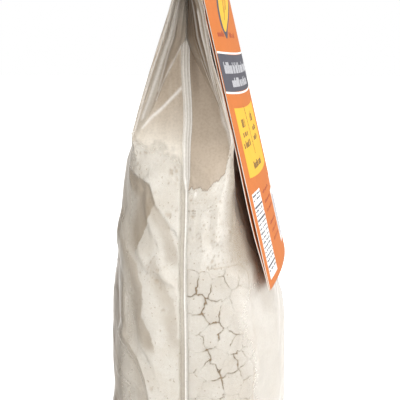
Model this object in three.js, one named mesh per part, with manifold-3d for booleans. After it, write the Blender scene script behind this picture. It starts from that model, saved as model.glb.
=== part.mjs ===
// A clear side-gusset bag of flour that stands on its base, with a folded card stapled to its sealed top.
// Millimetres, +Z up. The card's side of the bag faces -Y, and the gussets are at -X and +X.
// The origin is on the flat base, below the middle of the bag's body.
// The bag is one solid out to its film, with the air space above the flour included.
import * as THREE from "three";
import { mergeVertices } from "three/addons/utils/BufferGeometryUtils.js";
import Module from "manifold-3d";

// ---- Driving dimensions of the bag -------------------------------------------------------------

const PANEL_HALF = 68; // half the flat width of the front and back panels, and of the sealed top
const GUSSET = 25; // one leaf of a side gusset, from the panel's crease to the centre fold
const BELLY_HALF_WIDTH = 68; // the filled body's reach along X
const BELLY_FRONT = 50.8; // its reach towards -Y, where the flour has settled forward
const BELLY_BACK = 47.9; // and towards +Y
const BELLY_Z = 28; // height of the widest place
const BASE_ROUNDING = 12; // radius of the lower edge
const TAPER = 0.268; // share of the belly's depth that is lost over TAPER_RISE above it
const TAPER_RISE = 125;
const PRESSED_BY_CARD = 9.2; // how much flatter the front lies than the back, behind the card
const SHOULDER_Z = 165; // the flour's shoulder, where the gussets start to fold in
const CREASE_FRONT = 21; // how deep the panels' creases lie at the shoulder, beyond the seal's thickness
const CREASE_BACK = 22;
const BULGE_FRONT = 2; // how far the panels stand out between their creases at the shoulder
const BULGE_BACK = 8;
const TRIANGLE_HALF = 21.9; // half the width, at the shoulder, of the flat triangle in each gusset
const TRIANGLE_HEIGHT = 50;
const NECK_Z = 250; // where front and back meet below the seal
const TOP_Z = 283; // upper edge of the seal
const SEAL_HALF_THICKNESS = 0.7;

// ---- Driving dimensions of the card ------------------------------------------------------------

const CARD_WIDTH = 90;
const CARD_LENGTH = 197; // from the fold to the lower edge
const CARD_THICKNESS = 0.4;
const CARD_LEAN = THREE.MathUtils.degToRad(13.5); // its lower end stands out over the belly
const CARD_TURN = THREE.MathUtils.degToRad(5.9); // the sealed top is turned this far about Z
const CARD_BOW = 2.6; // its long edges lie this far behind its middle
const CARD_TOP = new THREE.Vector3(0, -2.8, TOP_Z - 0.6);
const SEAL_BEHIND_CARD = 2.85; // from the card's face to the middle of the seal, along Y

// ---- Staple ------------------------------------------------------------------------------------

const WIRE_RADIUS = 0.35;
const STAPLE_HALF_WIDTH = 5.6;
const STAPLE_DROP = 13; // below the card's fold
const TOUCH_GAP = 0.36; // between pieces that touch

// ---- Small helpers -----------------------------------------------------------------------------

const UP = new THREE.Vector3(0, 0, 1);
const clamp01 = (t) => Math.min(1, Math.max(0, t));
const ramp = (value, from, to) => clamp01((value - from) / (to - from));
const smooth = (t) => t * t * (3 - 2 * t);
const mix = (a, b, t) => a + (b - a) * t;

const wasm = await Module();
wasm.setup();

function solidFrom(geometry) {
  const bare = geometry.clone();
  bare.deleteAttribute("normal");
  bare.deleteAttribute("uv");
  const merged = mergeVertices(bare, 1e-4);
  return new wasm.Manifold(
    new wasm.Mesh({
      numProp: 3,
      vertProperties: merged.attributes.position.array,
      triVerts: new Uint32Array(merged.index.array),
    }),
  );
}

function geometryFrom(solid) {
  const mesh = solid.getMesh();
  const geometry = new THREE.BufferGeometry();
  geometry.setAttribute("position", new THREE.BufferAttribute(mesh.vertProperties, 3));
  geometry.setIndex(new THREE.BufferAttribute(mesh.triVerts, 1));
  return geometry;
}

// A closed surface through rings of equal count, with a fan over the first and the last ring.
function loft(rings) {
  const count = rings[0].length;
  const positions = rings.flat().flatMap((p) => [p.x, p.y, p.z]);
  const index = [];
  for (let r = 0; r + 1 < rings.length; r++)
    for (let i = 0; i < count; i++) {
      const j = (i + 1) % count;
      const [a, b] = [r * count + i, r * count + j];
      index.push(a, b, b + count, a, b + count, a + count);
    }
  const capped = [
    [0, rings[0], true],
    [(rings.length - 1) * count, rings.at(-1), false],
  ];
  for (const [first, ring, below] of capped) {
    const middle = positions.length / 3;
    const centre = ring.reduce((sum, p) => sum.add(p), new THREE.Vector3()).divideScalar(count);
    positions.push(centre.x, centre.y, centre.z);
    for (let i = 0; i < count; i++) {
      const [a, b] = [first + i, first + ((i + 1) % count)];
      index.push(middle, below ? b : a, below ? a : b);
    }
  }
  const geometry = new THREE.BufferGeometry();
  geometry.setAttribute("position", new THREE.Float32BufferAttribute(positions, 3));
  geometry.setIndex(index);
  return geometry;
}

// ---- The bag -----------------------------------------------------------------------------------

const FACE_STEPS = 11; // mesh steps from a panel's middle to its crease
const SLANT_STEPS = 5; // from the crease to the gusset's flat triangle
const FLAT_STEPS = 4; // and across half of that triangle, to the gusset's centre fold
const SQUARENESS = 2.5; // exponent of the body's rounded section

// How far the body's lower edge is drawn in at height z.
const baseInset = (z) =>
  z < BASE_ROUNDING ? BASE_ROUNDING - Math.sqrt(BASE_ROUNDING ** 2 - (BASE_ROUNDING - z) ** 2) : 0;

// The front of the body is pressed flatter than the back, where the card lies against it.
const pressedByCard = (z) => PRESSED_BY_CARD * smooth(ramp(z, 66, 150));

function bodyDepth(z, isFront) {
  const belly = isFront ? BELLY_FRONT : BELLY_BACK;
  const rise = Math.max(0, z - BELLY_Z) / TAPER_RISE;
  return belly * (1 - TAPER * rise ** 2) - baseInset(z) - (isFront ? pressedByCard(z) : 0);
}

// The body is a little narrower at the shoulder than at the belly.
const bodyWidth = (z) => BELLY_HALF_WIDTH - baseInset(z) - 3 * smooth(ramp(z, 90, SHOULDER_Z));

// Above the shoulder: how deep the panels' creases lie, and how far the panels bulge between them.
const gableLeft = (z) => 1 - ramp(z, SHOULDER_Z, NECK_Z);
const creaseDepth = (z, isFront) =>
  SEAL_HALF_THICKNESS + (isFront ? CREASE_FRONT : CREASE_BACK) * gableLeft(z) ** 1.2;
const creaseWidth = (z) => mix(PANEL_HALF - 5, PANEL_HALF, ramp(z, SHOULDER_Z - 20, NECK_Z - 15));
const panelBulge = (z, isFront) => (isFront ? BULGE_FRONT : BULGE_BACK) * gableLeft(z) ** 1.4;

// Half the width of the flat triangle in the gusset, which narrows to nothing up the gable.
const flatHalf = (z) => TRIANGLE_HALF * (1 - ramp(z, SHOULDER_Z, SHOULDER_Z + TRIANGLE_HEIGHT));

// The gusset's film doesn't stretch, so its depth of fold follows from the two half widths.
const foldDepth = (z) =>
  Math.sqrt(Math.max(0, (GUSSET - flatHalf(z)) ** 2 - (creaseDepth(z, false) - flatHalf(z)) ** 2));

// A point on a quarter of a superellipse, at a share of the way from (0, b) to (a, 0) along it.
function quarterPoint(a, b, share) {
  const steps = 48;
  const walk = [new THREE.Vector2(0, b)];
  for (let i = 1; i <= steps; i++) {
    const angle = ((Math.PI / 2) * i) / steps;
    const x = a * Math.sin(angle) ** (2 / SQUARENESS);
    walk.push(new THREE.Vector2(x, b * Math.max(0, Math.cos(angle)) ** (2 / SQUARENESS)));
  }
  const lengths = [0];
  for (let i = 1; i <= steps; i++) lengths.push(lengths[i - 1] + walk[i].distanceTo(walk[i - 1]));
  const wanted = share * lengths[steps];
  const i = Math.max(1, lengths.findIndex((length) => length >= wanted - 1e-9));
  const along = (wanted - lengths[i - 1]) / (lengths[i] - lengths[i - 1]);
  return walk[i - 1].clone().lerp(walk[i], along);
}

// Places across a quarter of the section, as the length of film from the middle of its panel.
function reaches(z) {
  const slanting = GUSSET - flatHalf(z);
  const list = [];
  for (let i = 0; i < FACE_STEPS; i++) list.push((PANEL_HALF * i) / FACE_STEPS);
  for (let i = 0; i < SLANT_STEPS; i++) list.push(PANEL_HALF + (slanting * i) / SLANT_STEPS);
  for (let i = 0; i <= FLAT_STEPS; i++) list.push(PANEL_HALF + mix(slanting, GUSSET, i / FLAT_STEPS));
  return list;
}

// Where that film lies above the shoulder, in the quarter of the section with x and y above zero.
function gablePoint(reach, z, isFront) {
  const crease = new THREE.Vector2(creaseWidth(z), creaseDepth(z, isFront));
  if (reach <= PANEL_HALF) {
    const share = reach / PANEL_HALF;
    return new THREE.Vector2(crease.x * share, crease.y + panelBulge(z, isFront) * (1 - share ** 2));
  }
  const intoGusset = reach - PANEL_HALF;
  const slanting = GUSSET - flatHalf(z);
  const inner = new THREE.Vector2(crease.x - foldDepth(z), flatHalf(z));
  if (intoGusset < slanting) return crease.lerp(inner, intoGusset / slanting);
  return new THREE.Vector2(inner.x, GUSSET - intoGusset);
}

// In the seal the gussets' film is drawn in to the panels' edges.
function sealPoint(reach) {
  if (reach <= PANEL_HALF) return new THREE.Vector2(reach, SEAL_HALF_THICKNESS);
  return new THREE.Vector2(PANEL_HALF, SEAL_HALF_THICKNESS * (1 - (reach - PANEL_HALF) / GUSSET));
}

function quarterSection(z, isFront) {
  const gable = smooth(ramp(z, SHOULDER_Z - 14, SHOULDER_Z + 8));
  return reaches(z).map((reach) => {
    if (z > NECK_Z) return sealPoint(reach);
    const body = quarterPoint(bodyWidth(z), bodyDepth(z, isFront), reach / (PANEL_HALF + GUSSET));
    return body.lerp(gablePoint(reach, z, isFront), gable);
  });
}

// The top is turned about Z, and its middle swings forward to the neck and back up the seal.
const turnAt = (z) => -CARD_TURN * smooth(ramp(z, 70, 215));
const NECK_Y = CARD_TOP.y + SEAL_BEHIND_CARD - Math.tan(CARD_LEAN) * (CARD_TOP.z - NECK_Z);
function middleY(z) {
  const t = ramp(z, SHOULDER_Z - 20, NECK_Z);
  return z < NECK_Z ? NECK_Y * t * t * (2 - t) : NECK_Y + (z - NECK_Z) * Math.tan(CARD_LEAN);
}

// The seal is bowed like the card in front of it. Past the card's edges it curls back at +X, forward at -X.
function bowAt(x) {
  const share = Math.abs(x) / (CARD_WIDTH / 2);
  const beyond = Math.max(0, share - 1);
  const curl = x > 0 ? 2 : -8.5;
  return CARD_BOW * (Math.min(1, share) ** 2 + 2 * beyond + curl * beyond ** 2);
}

// The section at height z, from the front's middle round by +X, the back and -X.
function bagRing(z) {
  const front = quarterSection(z, true).map((p) => [p.x, -p.y]);
  const back = quarterSection(z, false).map((p) => [p.x, p.y]);
  const right = [...front, ...back.reverse().slice(1)];
  const left = right.slice(1, -1).reverse().map(([x, y]) => [-x, y]);
  const bowed = smooth(ramp(z, SHOULDER_Z + 5, NECK_Z - 10));
  return [...right, ...left].map(([x, y]) => {
    const point = new THREE.Vector3(x, y + bowed * bowAt(x), z).applyAxisAngle(UP, turnAt(z));
    point.y += middleY(z);
    return point;
  });
}

function ringHeights() {
  const heights = [0, 0.7, 2.5, 5.5, 9.5, BASE_ROUNDING];
  for (let z = 24; z < SHOULDER_Z - 20; z += 11) heights.push(z);
  for (let z = SHOULDER_Z - 17; z < NECK_Z - 3; z += 5) heights.push(z);
  return [...heights, NECK_Z, NECK_Z + 1.5, TOP_Z];
}

const bagSolid = () => solidFrom(loft(ringHeights().map(bagRing)));

// ---- The card ----------------------------------------------------------------------------------
// In the card's own frame, X runs across it, +Z up it from the fold, and -Y is out of its face.

// Clear space between the two leaves at a distance below the fold: it closes at the lower edge.
const leafGap = (drop) =>
  mix(0.85 + 0.6 * Math.exp(-(((drop - 158) / 22) ** 2)), 0.2, smooth(ramp(drop, 168, CARD_LENGTH)));

// The card's middle line from the front leaf's lower edge, over the fold, to the back leaf's lower edge.
function cardMiddleLine() {
  const foldRadius = (CARD_THICKNESS + leafGap(0)) / 2;
  const drops = [];
  for (let i = 0; i <= 20; i++) drops.push(mix(CARD_LENGTH, foldRadius, i / 20));
  const line = drops.map((drop) => new THREE.Vector2(CARD_THICKNESS / 2, -drop));
  for (let i = 1; i < 6; i++) {
    const angle = (Math.PI * i) / 6;
    const y = CARD_THICKNESS / 2 + foldRadius * (1 - Math.cos(angle));
    line.push(new THREE.Vector2(y, foldRadius * (Math.sin(angle) - 1)));
  }
  const backLeaf = (drop) => new THREE.Vector2(1.5 * CARD_THICKNESS + leafGap(drop), -drop);
  return [...line, ...drops.reverse().map(backLeaf)];
}

function cardGeometry() {
  const line = cardMiddleLine();
  const normals = line.map((point, i) => {
    const along = line[Math.min(i + 1, line.length - 1)].clone().sub(line[Math.max(i - 1, 0)]);
    return new THREE.Vector2(-along.y, along.x).normalize();
  });
  const across = 12;
  const rings = [];
  for (let j = 0; j <= across; j++) {
    const x = mix(-CARD_WIDTH / 2, CARD_WIDTH / 2, j / across);
    const place = (i, side) => {
      const p = line[i].clone().addScaledVector(normals[i], (side * CARD_THICKNESS) / 2);
      return new THREE.Vector3(x, p.x + bowAt(x), p.y);
    };
    rings.push([line.map((_, i) => place(i, 1)), line.map((_, i) => place(i, -1))]);
  }
  return sheetGeometry(rings);
}

// A closed sheet from stations across it, each with a row of points on its outer and its inner face.
function sheetGeometry(stations) {
  const row = stations[0][0].length;
  const positions = stations.flat(2).flatMap((p) => [p.x, p.y, p.z]);
  const at = (station, face, i) => (station * 2 + face) * row + i;
  const index = [];
  const quad = (a, b, c, d) => index.push(a, b, c, a, c, d);
  for (let j = 0; j + 1 < stations.length; j++) {
    for (let i = 0; i + 1 < row; i++) {
      quad(at(j, 0, i), at(j + 1, 0, i), at(j + 1, 0, i + 1), at(j, 0, i + 1));
      quad(at(j, 1, i), at(j, 1, i + 1), at(j + 1, 1, i + 1), at(j + 1, 1, i));
    }
    quad(at(j, 1, 0), at(j + 1, 1, 0), at(j + 1, 0, 0), at(j, 0, 0));
    quad(at(j, 0, row - 1), at(j + 1, 0, row - 1), at(j + 1, 1, row - 1), at(j, 1, row - 1));
  }
  const last = stations.length - 1;
  for (let i = 0; i + 1 < row; i++) {
    quad(at(0, 1, i), at(0, 0, i), at(0, 0, i + 1), at(0, 1, i + 1));
    quad(at(last, 0, i), at(last, 1, i), at(last, 1, i + 1), at(last, 0, i + 1));
  }
  const geometry = new THREE.BufferGeometry();
  geometry.setAttribute("position", new THREE.Float32BufferAttribute(positions, 3));
  geometry.setIndex(index);
  return geometry;
}

// ---- The staple, in the card's frame -------------------------------------------------------------

const CROWN_Y = -(WIRE_RADIUS + TOUCH_GAP);
const CLINCH_Y = 4.5; // behind the sealed film

function stapleGeometry() {
  const half = STAPLE_HALF_WIDTH;
  const corner = 0.55;
  const outline = [
    [1.6, CLINCH_Y + 0.15],
    [half - corner, CLINCH_Y],
    [half, CLINCH_Y - corner],
    [half, (CROWN_Y + CLINCH_Y) / 2],
    [half, CROWN_Y + corner],
    [half - corner, CROWN_Y],
  ];
  const mirrored = outline.map(([x, y]) => [-x, y]).reverse();
  const points = [...outline, [0, CROWN_Y], ...mirrored];
  const path = new THREE.CatmullRomCurve3(points.map(([x, y]) => new THREE.Vector3(x, y, 0)));
  path.curveType = "centripetal";
  const section = new THREE.Shape().absarc(0, 0, WIRE_RADIUS, 0, 2 * Math.PI);
  return new THREE.ExtrudeGeometry(section, { steps: 40, curveSegments: 4, extrudePath: path });
}

// The holes that the staple's legs go through, a little wider than the wire.
function legHoles() {
  const size = 2 * (WIRE_RADIUS + TOUCH_GAP);
  return [-1, 1].map((side) => {
    const hole = new THREE.BoxGeometry(size, 12, size);
    return hole.translate(side * STAPLE_HALF_WIDTH, 0, -STAPLE_DROP);
  });
}

// ---- Assembly ------------------------------------------------------------------------------------

function pierced(solid, frame) {
  let result = solid;
  for (const hole of legHoles()) result = result.subtract(solidFrom(hole.applyMatrix4(frame)));
  return geometryFrom(result);
}

function named(name, geometry, look) {
  const material = new THREE.MeshStandardMaterial(look);
  const mesh = new THREE.Mesh(geometry, material);
  mesh.name = name;
  return mesh;
}

const part = new THREE.Group();

const cardGroup = new THREE.Group();
cardGroup.position.copy(CARD_TOP);
cardGroup.rotation.set(-CARD_LEAN, 0, -CARD_TURN, "ZYX");
cardGroup.updateMatrix();

const flour = { color: 0xe9e4da, roughness: 0.35, metalness: 0 };
const orangeCard = { color: 0xf4935a, roughness: 0.55, metalness: 0 };
const steelWire = { color: 0xb9bcc0, roughness: 0.3, metalness: 1 };

part.add(named("flour_bag", pierced(bagSolid(), cardGroup.matrix), flour));
cardGroup.add(named("card", pierced(solidFrom(cardGeometry()), new THREE.Matrix4()), orangeCard));

const staple = named("staple", stapleGeometry(), steelWire);
staple.position.z = -STAPLE_DROP;
cardGroup.add(staple);
part.add(cardGroup);

export default part;
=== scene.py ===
"""A clear gusseted bag of flour with a folded hang card, around the CAD frame.

Sizes are in mm in this script and in metres in Blender. Places on the film are given as p, the length
of film round the bag from the middle of the front (93 is the gusset at +X, 186 the middle of the back
and 279 the gusset at -X), and z, the height. Numbered seeds make every random shape the same each run.
"""
import math

import bpy
import numpy as np
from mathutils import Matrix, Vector


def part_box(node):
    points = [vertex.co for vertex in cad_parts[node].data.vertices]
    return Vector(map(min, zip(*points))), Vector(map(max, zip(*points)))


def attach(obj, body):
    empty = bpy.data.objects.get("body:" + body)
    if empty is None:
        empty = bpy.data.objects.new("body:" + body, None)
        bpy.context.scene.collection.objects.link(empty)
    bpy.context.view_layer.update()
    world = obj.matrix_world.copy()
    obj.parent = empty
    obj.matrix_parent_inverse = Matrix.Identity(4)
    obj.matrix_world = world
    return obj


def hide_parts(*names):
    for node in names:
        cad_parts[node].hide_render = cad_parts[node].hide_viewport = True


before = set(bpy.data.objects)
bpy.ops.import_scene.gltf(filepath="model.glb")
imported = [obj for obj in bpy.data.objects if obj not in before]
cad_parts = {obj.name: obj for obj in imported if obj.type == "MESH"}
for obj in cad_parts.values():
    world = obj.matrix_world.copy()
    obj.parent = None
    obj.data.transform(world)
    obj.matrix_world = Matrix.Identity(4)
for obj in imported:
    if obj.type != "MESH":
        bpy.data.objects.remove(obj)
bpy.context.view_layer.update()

MM = 0.001
BAG_LOW, BAG_HIGH = (np.array(corner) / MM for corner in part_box("flour_bag"))

# ---- The bag's shape, as in the CAD solid ----

PANEL_HALF = 68.0  # half the flat width of the front and back panels
GUSSET = 25.0  # one leaf of a side gusset
QUARTER = PANEL_HALF + GUSSET
ROUND = 4 * QUARTER  # all the way round the film
BELLY_FRONT = -BAG_LOW[1]
BELLY_BACK = BAG_HIGH[1]
BELLY_HALF_WIDTH = -BAG_LOW[0]
BELLY_Z = 28.0
BASE_ROUNDING = 12.0
TAPER = 0.268
TAPER_RISE = 125.0
PRESSED_BY_CARD = 9.2
SQUARENESS = 2.5
SHOULDER_Z = 165.0
CREASE_FRONT = 21.0
CREASE_BACK = 22.0
BULGE_FRONT = 2.0
BULGE_BACK = 8.0
TRIANGLE_HALF = 21.9
TRIANGLE_HEIGHT = 50.0
NECK_Z = 250.0
TOP_Z = BAG_HIGH[2]
SEAL_HALF_THICKNESS = 0.7
WING_FLARE = 5.4
FOLD_SHIFT = 4.3
NEAR_FOLD = 3 * QUARTER  # the centre fold, with the fin seam, at -X
FAR_FOLD = QUARTER  # and at +X

# ---- The card's shape, as in the CAD solid ----

CARD_WIDTH = 90.0
CARD_LENGTH = 197.0
CARD_THICKNESS = 0.4
CARD_LEAN = math.radians(13.5)
CARD_TURN = math.radians(5.9)
CARD_BOW = 2.6
CARD_TOP = np.array([0.0, -2.8, TOP_Z - 0.6])
SEAL_BEHIND_CARD = 2.85
STAPLE_DROP = 13.0
STAPLE_HALF_WIDTH = 5.6
WIRE_RADIUS = 0.35
WIRE_CORNER = 0.6
CLINCH_OUT = -4.2


def ramp(value, start, end):
    return np.clip((value - start) / (end - start), 0.0, 1.0)


def smooth(t):
    return t * t * (3 - 2 * t)


def ease(value, start, end):
    """From 0 at start to 1 at end, smoothly; start may be the higher one."""
    return smooth(ramp(value, start, end))


def band(value, low_out, low_in, high_in, high_out):
    """1 between the inner two limits, fading to 0 at the outer two."""
    return ease(value, low_out, low_in) * ease(value, high_out, high_in)


def bell(value, middle, width):
    return np.exp(-(((value - middle) / width) ** 2))


def mix(a, b, t):
    return a + (b - a) * t


# ---- Noise that is the same on every run ----


def random_at(ix, iy, iz, seed):
    """A fixed random number from 0 to 1 for each whole-numbered place."""
    n = (ix * 374761393 + iy * 668265263 + iz * 1103515245 + seed * 1274126177) & 0xFFFFFFFF
    n = ((n ^ (n >> 13)) * 1274126177) & 0xFFFFFFFF
    n = ((n ^ (n >> 15)) * 668265263) & 0xFFFFFFFF
    return ((n ^ (n >> 16)) & 0xFFFF) / 65535.0


def noise(points, size, seed):
    """Soft lumps about `size` millimetres across, from 0 to 1, at points of shape (..., 3)."""
    scaled = points / size
    cell = np.floor(scaled).astype(np.int64)
    t = smooth(scaled - cell)
    total = 0.0
    for corner in np.ndindex(2, 2, 2):
        weight = 1.0
        for axis in range(3):
            weight = weight * (t[..., axis] if corner[axis] else 1 - t[..., axis])
        at = cell + np.array(corner)
        total = total + weight * random_at(at[..., 0], at[..., 1], at[..., 2], seed)
    return total


def fractal(points, size, seed, octaves=3):
    total, weight, amount = 0.0, 0.0, 1.0
    for octave in range(octaves):
        total = total + amount * noise(points, size / 2**octave, seed + octave)
        weight += amount
        amount *= 0.55
    return total / weight


def flat_place(p, z):
    return np.stack([np.mod(p, ROUND), z, np.zeros(np.broadcast(p, z).shape)], axis=-1)


def cloud(p, z, size, seed, octaves=3):
    """Fractal noise on the unrolled film."""
    return fractal(flat_place(p, z), size, seed, octaves)


def spots(p, z, size, seed, share):
    """Round spots of mixed sizes on a jittered net, from 0 to 1; `share` of its cells have one."""
    u, v = p / size, z / size
    iu, iv = np.floor(u).astype(np.int64), np.floor(v).astype(np.int64)
    best = np.zeros(u.shape)
    for di, dj in np.ndindex(3, 3):
        cell_u, cell_v = iu + di - 1, iv + dj - 1
        spot_u = cell_u + 0.2 + 0.6 * random_at(cell_u, cell_v, 1, seed)
        spot_v = cell_v + 0.2 + 0.6 * random_at(cell_u, cell_v, 2, seed)
        radius = 0.16 + 0.26 * random_at(cell_u, cell_v, 4, seed) ** 2
        present = random_at(cell_u, cell_v, 3, seed) < share
        distance = np.hypot(u - spot_u, v - spot_v)
        best = np.maximum(best, present * ease(distance, radius, 0.4 * radius))
    return best


# ---- The section of the bag ----


def base_inset(z):
    if z >= BASE_ROUNDING:
        return 0.0
    return BASE_ROUNDING - math.sqrt(BASE_ROUNDING**2 - (BASE_ROUNDING - z) ** 2)


def body_depth(z, front):
    belly = BELLY_FRONT if front else BELLY_BACK
    rise = max(0.0, z - BELLY_Z) / TAPER_RISE
    pressed = PRESSED_BY_CARD * ease(z, 66, 150) if front else 0.0
    return belly * (1 - TAPER * rise**2) - base_inset(z) - pressed


def body_width(z):
    return BELLY_HALF_WIDTH - base_inset(z) - 3 * ease(z, 90, SHOULDER_Z)


def gable_left(z):
    return 1 - ramp(z, SHOULDER_Z, NECK_Z)


def crease_depth(z, front):
    return SEAL_HALF_THICKNESS + (CREASE_FRONT if front else CREASE_BACK) * gable_left(z) ** 1.2


def crease_width(z):
    return mix(PANEL_HALF - 5, PANEL_HALF, ramp(z, SHOULDER_Z - 20, NECK_Z - 15))


def panel_bulge(z, front):
    return (BULGE_FRONT if front else BULGE_BACK) * gable_left(z) ** 1.4


def flat_half(z):
    return TRIANGLE_HALF * (1 - ramp(z, SHOULDER_Z, SHOULDER_Z + TRIANGLE_HEIGHT))


def fold_depth(z):
    slanting = GUSSET - flat_half(z)
    return math.sqrt(max(0.0, slanting**2 - (crease_depth(z, False) - flat_half(z)) ** 2))


def body_quarter(z, reach, front):
    """Along a quarter of a superellipse, by the length of film from its panel's middle."""
    angle = np.linspace(0, math.pi / 2, 121)
    x = body_width(z) * np.sin(angle) ** (2 / SQUARENESS)
    y = body_depth(z, front) * np.clip(np.cos(angle), 0, 1) ** (2 / SQUARENESS)
    along = np.concatenate([[0], np.cumsum(np.hypot(np.diff(x), np.diff(y)))])
    wanted = reach / QUARTER * along[-1]
    return np.interp(wanted, along, x), np.interp(wanted, along, y)


def gable_quarter(z, reach, front):
    """Above the shoulder: the panel, the slanting leaf of the gusset and its flat triangle."""
    width, depth, flat = crease_width(z), crease_depth(z, front), flat_half(z)
    slanting = GUSSET - flat
    inner = width - fold_depth(z)
    share = np.clip(reach / PANEL_HALF, 0, 1)
    t = np.clip((reach - PANEL_HALF) / slanting, 0, 1)
    in_panel = reach <= PANEL_HALF
    x = np.where(in_panel, width * share, mix(width, inner, t))
    y_panel = depth + panel_bulge(z, front) * (1 - share**2)
    y_gusset = np.where(t < 1, mix(depth, flat, t), QUARTER - reach)
    return x, np.where(in_panel, y_panel, y_gusset)


def seal_quarter(reach):
    into_gusset = np.clip((reach - PANEL_HALF) / GUSSET, 0, 1)
    return np.minimum(reach, PANEL_HALF), SEAL_HALF_THICKNESS * (1 - into_gusset)


def quarter(z, reach, front):
    if z > NECK_Z:
        return seal_quarter(reach)
    gable = ease(z, SHOULDER_Z - 14, SHOULDER_Z + 8)
    body, top = body_quarter(z, reach, front), gable_quarter(z, reach, front)
    return mix(body[0], top[0], gable), mix(body[1], top[1], gable)


def forward_shift(z, reach, is_front, side):
    """How far the near gusset's front edge and centre fold stand forward of the turned section."""
    front_edge = WING_FLARE * band(z, 112, 157, 222, NECK_Z + 6)
    centre_fold = FOLD_SHIFT * band(z, 85, 158, 172, 214)
    into_fold = ramp(reach, PANEL_HALF, QUARTER)
    on_front = ease(reach, 49, 61) * mix(front_edge, centre_fold, into_fold)
    return np.where(side < 0, np.where(is_front, on_front, centre_fold * into_fold), 0.0)


NECK_Y = CARD_TOP[1] + SEAL_BEHIND_CARD - math.tan(CARD_LEAN) * (CARD_TOP[2] - NECK_Z)


def middle_y(z):
    t = ramp(z, SHOULDER_Z - 20, NECK_Z)
    return NECK_Y * t * t * (2 - t) if z < NECK_Z else NECK_Y + (z - NECK_Z) * math.tan(CARD_LEAN)


def bow_at(x):
    share = np.abs(x) / (CARD_WIDTH / 2)
    beyond = np.clip(share - 1, 0, None)
    curl = np.where(x > 0, 2.0, -8.5)
    return CARD_BOW * (np.clip(share, 0, 1) ** 2 + 2 * beyond + curl * beyond**2)


def reach_of(p):
    """The length of film from the middle of its own panel, for places round the bag."""
    q = np.mod(p, 2 * QUARTER)
    return np.where(q <= QUARTER, q, 2 * QUARTER - q)


def ring(z, p):
    """Points of the film at height z and places p round the bag, as an array (n, 3)."""
    p = np.mod(p, ROUND)
    reach = reach_of(p)
    is_front = (p < QUARTER) | (p > 3 * QUARTER)
    side = np.where(p < 2 * QUARTER, 1.0, -1.0)
    front, back = quarter(z, reach, True), quarter(z, reach, False)
    x = np.where(is_front, front[0], back[0]) * side
    y = np.where(is_front, -front[1], back[1])
    y = y + ease(z, SHOULDER_Z + 5, NECK_Z - 10) * bow_at(x)
    y = y - forward_shift(z, reach, is_front, side)
    turn = -CARD_TURN * ease(z, 70, 215)
    cos, sin = math.cos(turn), math.sin(turn)
    return np.stack([cos * x - sin * y, sin * x + cos * y + middle_y(z), np.full_like(x, z)], axis=-1)


SHEET_STEP = 0.5


class Sheet:
    """The film's smooth surface, with its outward normals, on a fine grid to read places from."""

    def __init__(self):
        rounding = BASE_ROUNDING * (1 - np.cos(np.linspace(0, math.pi / 2, 24)))
        upper = np.arange(BASE_ROUNDING + SHEET_STEP, TOP_Z, SHEET_STEP)
        self.heights = np.concatenate([rounding, upper, [TOP_Z]])
        places = np.arange(0, ROUND, SHEET_STEP)
        points = np.stack([ring(z, places) for z in self.heights])
        round_step = np.roll(points, -1, axis=1) - np.roll(points, 1, axis=1)
        normals = np.cross(round_step, np.gradient(points, axis=0))
        length = np.linalg.norm(normals, axis=-1, keepdims=True)
        self.points, self.normals = points, normals / np.maximum(1e-9, length)

    def at(self, p, z):
        """Points and normals at any places round the bag and heights."""
        row = np.interp(z, self.heights, np.arange(len(self.heights)))
        row_low = np.minimum(row.astype(int), len(self.heights) - 2)
        row_part = (row - row_low)[..., None]
        column = np.mod(p, ROUND) / SHEET_STEP
        column_low = column.astype(int) % self.points.shape[1]
        column_high = (column_low + 1) % self.points.shape[1]
        column_part = (column - np.floor(column))[..., None]

        def read(grid):
            lower = mix(grid[row_low, column_low], grid[row_low, column_high], column_part)
            upper = mix(grid[row_low + 1, column_low], grid[row_low + 1, column_high], column_part)
            return mix(lower, upper, row_part)

        return read(self.points), read(self.normals)


SHEET = Sheet()


def on_film(p, z, out):
    """Points that lie `out` millimetres outside the smooth film."""
    points, normals = SHEET.at(p, z)
    return points + normals * out[..., None]


# ---- How the flour has settled and how the film creases over it ----


def round_trip(across):
    """Wraps a distance round the bag to between plus and minus half way round."""
    return np.mod(across + ROUND / 2, ROUND) - ROUND / 2


def from_near_fold(p):
    """Film from the fin seam at -X, counted towards the front."""
    return round_trip(p - NEAR_FOLD)


def from_far_fold(p):
    """Film from the fin seam at +X, counted towards the back."""
    return round_trip(p - FAR_FOLD)


def facets(p, z, size, seed):
    """Flat plates with soft ridges between them, from -1 to 1: random heights on a slanting net."""
    place = flat_place(p, z)
    u = p / size + 0.45 * z / size + 0.55 * (noise(place, 31, seed + 50) - 0.5)
    v = z / (1.35 * size) + 0.55 * (noise(place, 27, seed + 51) - 0.5)
    columns = round(ROUND / size)
    iu, iv = np.floor(u).astype(np.int64), np.floor(v).astype(np.int64)
    fu, fv = u - iu, v - iv

    def height(di, dj):
        return random_at(np.mod(iu + di, columns), iv + dj, 0, seed)

    lower = height(0, 0) + (height(1, 0) - height(0, 0)) * fu + (height(1, 1) - height(1, 0)) * fv
    upper = height(0, 0) + (height(1, 1) - height(0, 1)) * fu + (height(0, 1) - height(0, 0)) * fv
    return 2 * np.where(fu > fv, lower, upper) - 1


def line_distance(across, z, points):
    """Distance to a line through points, and its sign: plus on the right of its way."""
    best = np.full(across.shape, 1e9)
    side = np.ones(across.shape)
    for (x1, z1), (x2, z2) in zip(points, points[1:]):
        dx, dz = x2 - x1, z2 - z1
        t = np.clip(((across - x1) * dx + (z - z1) * dz) / (dx * dx + dz * dz), 0, 1)
        ox, oz = across - x1 - t * dx, z - z1 - t * dz
        distance = np.hypot(ox, oz)
        nearer = distance < best
        best = np.where(nearer, distance, best)
        side = np.where(nearer, np.sign(dx * oz - dz * ox), side)
    return best, side


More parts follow.
